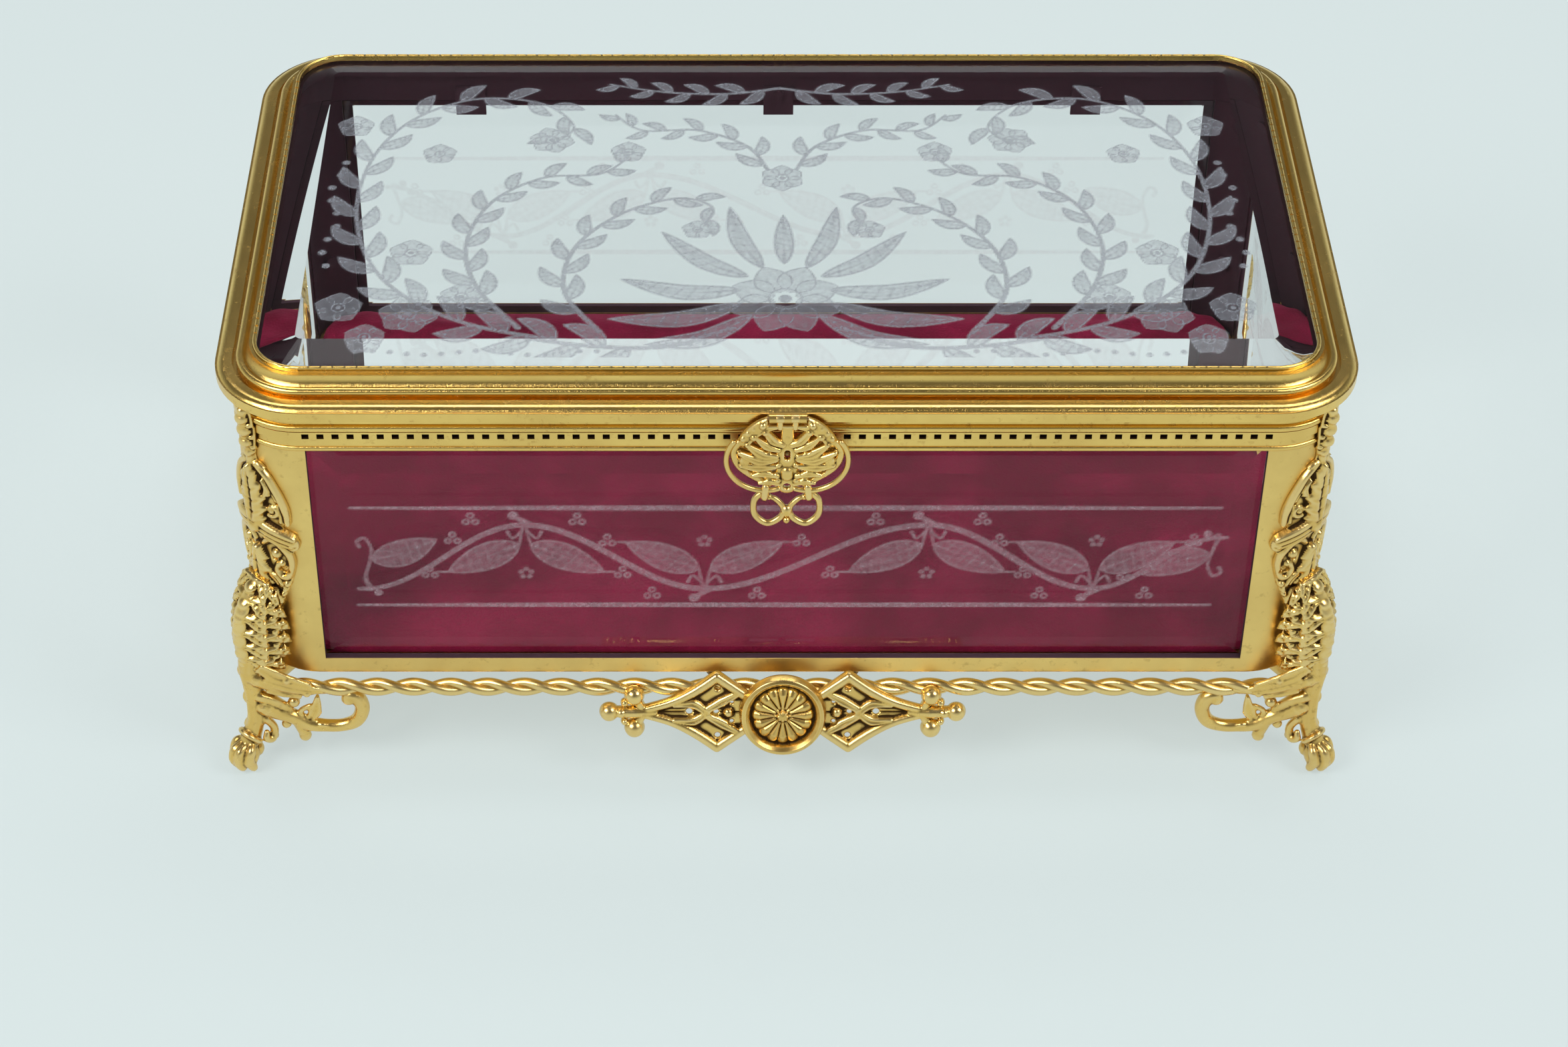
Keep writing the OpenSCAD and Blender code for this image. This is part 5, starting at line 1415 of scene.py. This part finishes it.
class Cutting(Relief):
    """A grid over a pane that keeps how matt each point is, from 0 to 1."""

    def __init__(self, low, high, step):
        super().__init__(low, high, step)
        self.x, self.y = self.X[:, 0], self.Y[0, :]
        self.frost = np.zeros(self.X.shape)

    def close_to(self, path, reach):
        """Like near, but only for the part of the grid within reach of the path."""
        p = np.array(path, float)
        i0, i1 = np.searchsorted(self.x, (p[:, 0].min() - reach, p[:, 0].max() + reach))
        j0, j1 = np.searchsorted(self.y, (p[:, 1].min() - reach, p[:, 1].max() + reach))
        part = (slice(i0, i1), slice(j0, j1))
        whole = self.X, self.Y
        self.X, self.Y = whole[0][part], whole[1][part]
        found = self.near(p)
        self.X, self.Y = whole
        return (part, *found)

    def mark(self, part, value):
        """Grinds a part of the pane; where two cuts meet, the rougher one shows."""
        self.frost[part] = np.maximum(self.frost[part], value)

    def line(self, path, width, depth):
        """A wheel-cut line; width is a number or a list along the path, in millimetres."""
        part, d, share, _ = self.close_to(path, 3)
        width = np.atleast_1d(width)
        w = np.interp(share, np.linspace(0, 1, len(width)), width)
        self.mark(part, depth * np.clip((w / 2 - d) / SOFT_RIM + 0.5, 0, 1))

    def dot(self, centre, r, depth):
        """A round spot."""
        part, d, _, _ = self.close_to([centre, (centre[0] + 1e-3, centre[1])], r + 1)
        self.mark(part, depth * np.clip((r - d) / SOFT_RIM + 0.5, 0, 1))

    def blade(self, path, half, depth, rim, veins=0):
        """A leaf with a bright cut rim, a darker field and slanting veins."""
        part, d, share, side = self.close_to(path, half + 1)
        w = half * np.sin(np.pi * np.clip(share, 0.0, 1) ** 0.8) ** 0.75 + 0.15
        edge = np.clip((w - d) / SOFT_RIM + 0.5, 0, 1)
        rimmed = np.exp(-((w - d - 0.5) / 0.55) ** 2)
        field = depth * (0.85 + 0.15 * np.sin(9.0 * share + 2.6 * d))
        if veins:
            slant = share * veins - 0.42 * d / max(half, 0.1) * np.sign(side)
            field = field + 0.22 * np.exp(-((slant % 1.0 - 0.5) / 0.13) ** 2)
            field += 0.2 * np.exp(-(d / 0.35) ** 2)
        self.mark(part, edge * np.clip(np.maximum(field, rim * rimmed), 0, 1))

    def lay(self, name, put):
        """The touched cells as a thin skin; put takes flat points to their place in mm."""
        touched = self.frost > 0.02
        cells = touched[:-1, :-1] | touched[1:, :-1] | touched[1:, 1:] | touched[:-1, 1:]
        i, j = np.nonzero(cells)
        index = np.full(self.X.shape, -1)
        for a, b in ((0, 0), (1, 0), (1, 1), (0, 1)):
            index[i + a, j + b] = 0
        used = index == 0
        index[used] = np.arange(used.sum())
        faces = np.stack([index[i, j], index[i + 1, j], index[i + 1, j + 1],
                          index[i, j + 1]], 1).tolist()
        made = solid(name, put(self.X[used], self.Y[used]), faces)
        frost = made.data.attributes.new("frost", "FLOAT", "POINT")
        frost.data.foreach_set("value", self.frost[used].astype(np.float32))
        return made

# %% Frosted glass
def matt_glass(name, colour, cover):
    """Cut glass: what it hides of the things behind it follows the frost attribute."""
    kit = Finish(name)
    frost = kit.node("Attribute", {"attribute_name": "frost"}, output="Fac")
    speck = kit.noise(900, 2, 0.6)
    kit.surface(kit.node("BsdfPrincipled", {}, {
        "Base Color": colour, "Roughness": 0.8, "Specular IOR Level": 0.2,
        "Alpha": frost * (cover + 0.2 * kit.fit(speck, 0.35, 0.65)),
        "Normal": kit.bump(speck, 0.00003)}))
    return kit.made


FINISHES["frosted_glass"] = matt_glass("frosted_glass", (0.165, 0.175, 0.20), 0.62)
# the walls' frost is pink: painted light, the velvet's red light scattered through the cut glass
FINISHES["frosted_walls"] = matt_glass("frosted_walls", (0.56, 0.44, 0.49), 0.28)

# %% [markdown]
# Each wall carries the same border: a stem that runs in waves between two matt lines, with
# a pair of big leaves in every bend, a knob at every crest, and berries in threes. One bend
# could be drawn and repeated, but a cutter spaces the bends by eye and they are not equal.
# So one function draws a border from a list of bends, and the short walls get fewer.

# %% Running vine
def vine(half_length, half_height, bends):
    """A border; bends are (x, side) of the stem's turning points, side 1 at a crest."""
    sheet = Cutting((-half_length - 3, -half_height - 1), (half_length + 3, half_height + 1),
                    0.42)
    for side in (-1, 1):
        sheet.line([(-half_length, side * half_height), (half_length, side * half_height)],
                   [0.9, 1.7, 1.9, 1.7, 0.9], 0.95)
    swing = half_height - 6.0
    stem = []
    for (x0, s0), (x1, s1) in zip(bends[:-1], bends[1:]):
        for t in np.linspace(0, 1, 16, endpoint=False):
            ease = (1 - math.cos(math.pi * t)) / 2
            stem.append((x0 + (x1 - x0) * t, swing * (s0 + (s1 - s0) * ease)))
    stem.append((bends[-1][0], swing * bends[-1][1]))
    sheet.line(stem, [1.5, 2.0, 2.0, 2.0, 1.5], 0.85)

    def berries(cx, cy):
        if abs(cx) > half_length - 2.5 or abs(cy) > half_height - 2.6:
            return
        for turn in (90, 210, 330):
            centre = (cx + 1.5 * math.cos(math.radians(turn)),
                      cy + 1.5 * math.sin(math.radians(turn)))
            sheet.line(scroll(centre, 0.8, 0.8, 0, 360, 13), 0.75, 0.85)

    def near_bend(at, out, s):
        """Places near a bend: along to its side s, and down from its crest."""
        return lambda along, down: (at + s * along, out * (swing - down))

    for at, out in bends[1:-1]:
        # a knob outside the bend, and inside it stalks, a pair of leaves and a flower
        spot = near_bend(at, out, 1)
        sheet.line([spot(1.5, 0), spot(-2.6, -3.0)], [2.2, 1.4], 0.85)
        sheet.dot(spot(-2.9, -3.3), 1.5, 0.95)
        for s in (-1, 1):
            spot = near_bend(at, out, s)
            sheet.line([spot(0.5, 1), spot(1.6, 7.4)], [1.1, 0.8], 0.7)
            sheet.line(through([spot(0.8, 2.2), spot(3.2, 4.8), spot(4.6, 2.6)]),
                       [0.8, 0.8, 1.1], 0.8)
            leaf = through([spot(1.6, 7.0), spot(10.5, 11.4), spot(21.5, 17.0)], 6)
            sheet.blade(leaf, 4.7, 0.62, 0.9, veins=8)
            sheet.line([leaf[-1], (leaf[-1][0] + s * 3.0, leaf[-1][1])], [0.9, 0.6], 0.8)
            berries(*spot(26.5, 17.4))
            berries(*spot(14.5, -1.8))
        for turn in range(18, 378, 72):
            sheet.dot((at + 1.5 * math.cos(math.radians(turn)),
                       out * (swing - 17.4) + 1.5 * math.sin(math.radians(turn))), 0.8, 0.75)
    # a curled shoot and one leaf at each end
    for (at, side), s in ((bends[0], 1), (bends[-1], -1)):
        out = math.copysign(1, side)
        spot = near_bend(at, out, s)
        sheet.line(through([(at + s * 1.6, side * swing), spot(0.2, 4.0), spot(1.6, 9.5),
                            spot(2.4, 14.5), spot(0.8, 18.4), spot(-1.4, 17.2),
                            spot(-0.8, 15.4)]), [1.6, 1.1, 1.0, 1.0, 1.2], 0.75)
        sheet.line([(at + s * 1.0, side * swing), (at - s * 1.8, side * swing)], [1.7, 1.3], 0.8)
        sheet.dot((at + s * 3.4, out * (abs(side) * swing + 1.4)), 1.2, 0.9)
        leaf = through([spot(2.2, 10.6), spot(10.5, 13.0), spot(20.5, 18.0)], 6)
        sheet.blade(leaf, 4.6, 0.62, 0.9, veins=8)
        berries(*spot(24.8, 18.2))
    return sheet

# %% Four borders
PANE_OUT = 0.03                     # how far a cut skin lies off its pane
LONG_BENDS = [(-115.5, -1), (-71, 1), (-22, -1), (39, 1), (85, -1), (118.5, 0.6)]
SHORT_BENDS = [(-50, -1), (-17, 1), (25, -1), (50.5, 0.6)]
for side in ("front", "back", "left", "right"):
    low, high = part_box("glass_" + side)
    middle = (low + high) / (2 * MM)
    long_way = side in ("front", "back")
    sheet = vine(118, 17.6, LONG_BENDS) if long_way else vine(51.5, 17.6, SHORT_BENDS)
    outwards = 1 if side in ("back", "right") else -1
    across_sign = 1 if side in ("front", "right") else -1
    # the far walls are cut more lightly, or they would muddle what shows through them
    sheet.frost *= {"front": 1.0, "back": 0.4}.get(side, 0.7)

    def put(across, up):
        face = (high if outwards > 0 else low) / MM
        depth = (face.y if long_way else face.x) + outwards * PANE_OUT
        z = middle.z + up
        flat = np.full_like(across, depth)
        if long_way:
            return np.stack([middle.x + across_sign * across, flat, z], 1)
        return np.stack([flat, middle.y + across_sign * across, z], 1)

    piece = sheet.lay("cut_vine_" + side, put)
    set_in(piece, "body", "frosted_glass")
    # the frost of the walls, with the pad's red light painted into it
    dress(piece, FINISHES["frosted_walls"])

# %% [markdown]
# The lid carries the richest cutting: one large open flower at the front, long leaves that
# spring from it, and two stems that roll along the edges with blossoms in the corners. The
# left half is the right half's mirror image, so only one half is drawn. A drawing loaded
# from a file would be quicker, but these few tools can be changed line by line. It is cut
# in the underside, so that the top of the glass stays smooth and easy to wipe.

# %% Flowers and sprays
lid_cut = Cutting((-134, -67), (134, 67), 0.42)


def flower(cx, cy, r, petals, turn, heart=0.28):
    """An open flower of leaf-shaped petals round a ring of dots."""
    for k in range(petals):
        a = math.radians(turn + 360 * k / petals)
        reach = [(cx + r * f * math.cos(a), cy + r * f * math.sin(a)) for f in (0.2, 0.6, 1.0)]
        lid_cut.blade(reach, r * 0.9 * math.sin(math.pi / petals) + 0.25, 0.62, 1.0)
    lid_cut.line(scroll((cx, cy), r * heart, r * heart, 0, 360, 15), 0.7, 1.0)
    lid_cut.dot((cx, cy), r * 0.1 + 0.3, 1.0)


def both_flowers(cx, cy, *args):
    flower(cx, cy, *args)
    flower(-cx, cy, *args)


def spray(path, count, length, half, start=0.08, lean=42, width=(1.7, 0.8)):
    """A stem with leaves in turn on its left and right, on both halves of the lid."""
    stem = through(path, 10)
    lid_cut.both(lid_cut.line, stem, width, 0.95)
    runs = np.hypot(*(stem[1:] - stem[:-1]).T)
    ends = np.concatenate([[0], np.cumsum(runs)]) / runs.sum()
    for k in range(count):
        at = start + (1 - start) * (k + 0.5) / count
        x, y = np.interp(at, ends, stem[:, 0]), np.interp(at, ends, stem[:, 1])
        i = min(np.searchsorted(ends, at), len(stem) - 1)
        heading = math.atan2(*(stem[i] - stem[i - 1])[::-1])
        side = 1 if k % 2 else -1
        grown = length * (1 - 0.35 * at)
        turn = heading + side * math.radians(lean)
        bend = heading + side * math.radians(lean * 0.45)
        mid = (x + grown * 0.55 * math.cos(turn), y + grown * 0.55 * math.sin(turn))
        tip = (mid[0] + grown * 0.5 * math.cos(bend), mid[1] + grown * 0.5 * math.sin(bend))
        lid_cut.both(lid_cut.blade, through([(x, y), mid, tip], 4), half * (1 - 0.3 * at),
                     0.66, 1.0, 6)

# %% Drawing under the lid
flower(0, -43, 15.5, 8, 22.5, 0.3)
for path, half in [
        ([(9, -50), (22, -60), (38, -62)], 3.0), ([(12, -45), (28, -52), (48, -52)], 3.4),
        ([(12, -39), (28, -40), (45, -34)], 3.4), ([(10, -33), (22, -26), (34, -12)], 3.2),
        ([(6, -29), (12, -16), (15, 0)], 3.0), ([(0, -27), (0, -16), (0, -4)], 2.8)]:
    lid_cut.both(lid_cut.blade, through(path, 8), half, 0.7, 1.0, 9)
spray([(14, -56), (34, -63), (62, -61), (90, -52), (110, -34), (119, -8), (118, 20),
       (108, 42), (90, 54), (70, 52), (60, 40), (66, 31)], 34, 14.5, 2.9, 0.1)
spray([(50, -58), (60, -40), (58, -20), (46, -4), (30, 4), (20, 0), (22, -9)], 15, 12, 2.5)
spray([(72, -56), (84, -38), (88, -18), (82, 2), (68, 14), (52, 16), (44, 24)], 17, 12, 2.6)
spray([(0, 60), (16, 57), (34, 58), (50, 62)], 9, 10, 2.0, 0.05, 46, (1.2, 0.7))
spray([(4, 18), (10, 30), (24, 38), (40, 38), (48, 46)], 11, 10, 2.1, 0.0, 46, (1.3, 0.7))
for x, y, r, petals in ((102, -50, 8.2, 6), (121, -47, 6.6, 5), (113, -60, 5.6, 5),
                        (88, -42, 6.0, 5), (103, -22, 6.2, 5), (66, 33, 6.6, 6),
                        (44, 27, 5.2, 5), (123, 40, 5.4, 5), (98, 26, 5.0, 5),
                        (24, -11, 4.4, 5)):
    both_flowers(x, y, r, petals, 18.0 * petals)
flower(0, 14, 6.4, 6, 30)
# rows of dots along the short sides and the front
for side in (-1, 1):
    for k in range(9):
        lid_cut.dot((side * (126 + 1.6 * math.sin(k * 1.4)), -28 + 6.2 * k), 1.15, 0.9)
    for k in range(16):
        lid_cut.dot((side * (46 + 4.6 * k), -65.2 + 0.8 * math.sin(k)), 0.9, 0.9)

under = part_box("lid_glass")[0].z / MM - PANE_OUT
set_in(lid_cut.lay("cut_lid_flowers",
                   lambda x, y: np.stack([x, y, np.full_like(x, under)], 1)),
       "lid", "frosted_glass")
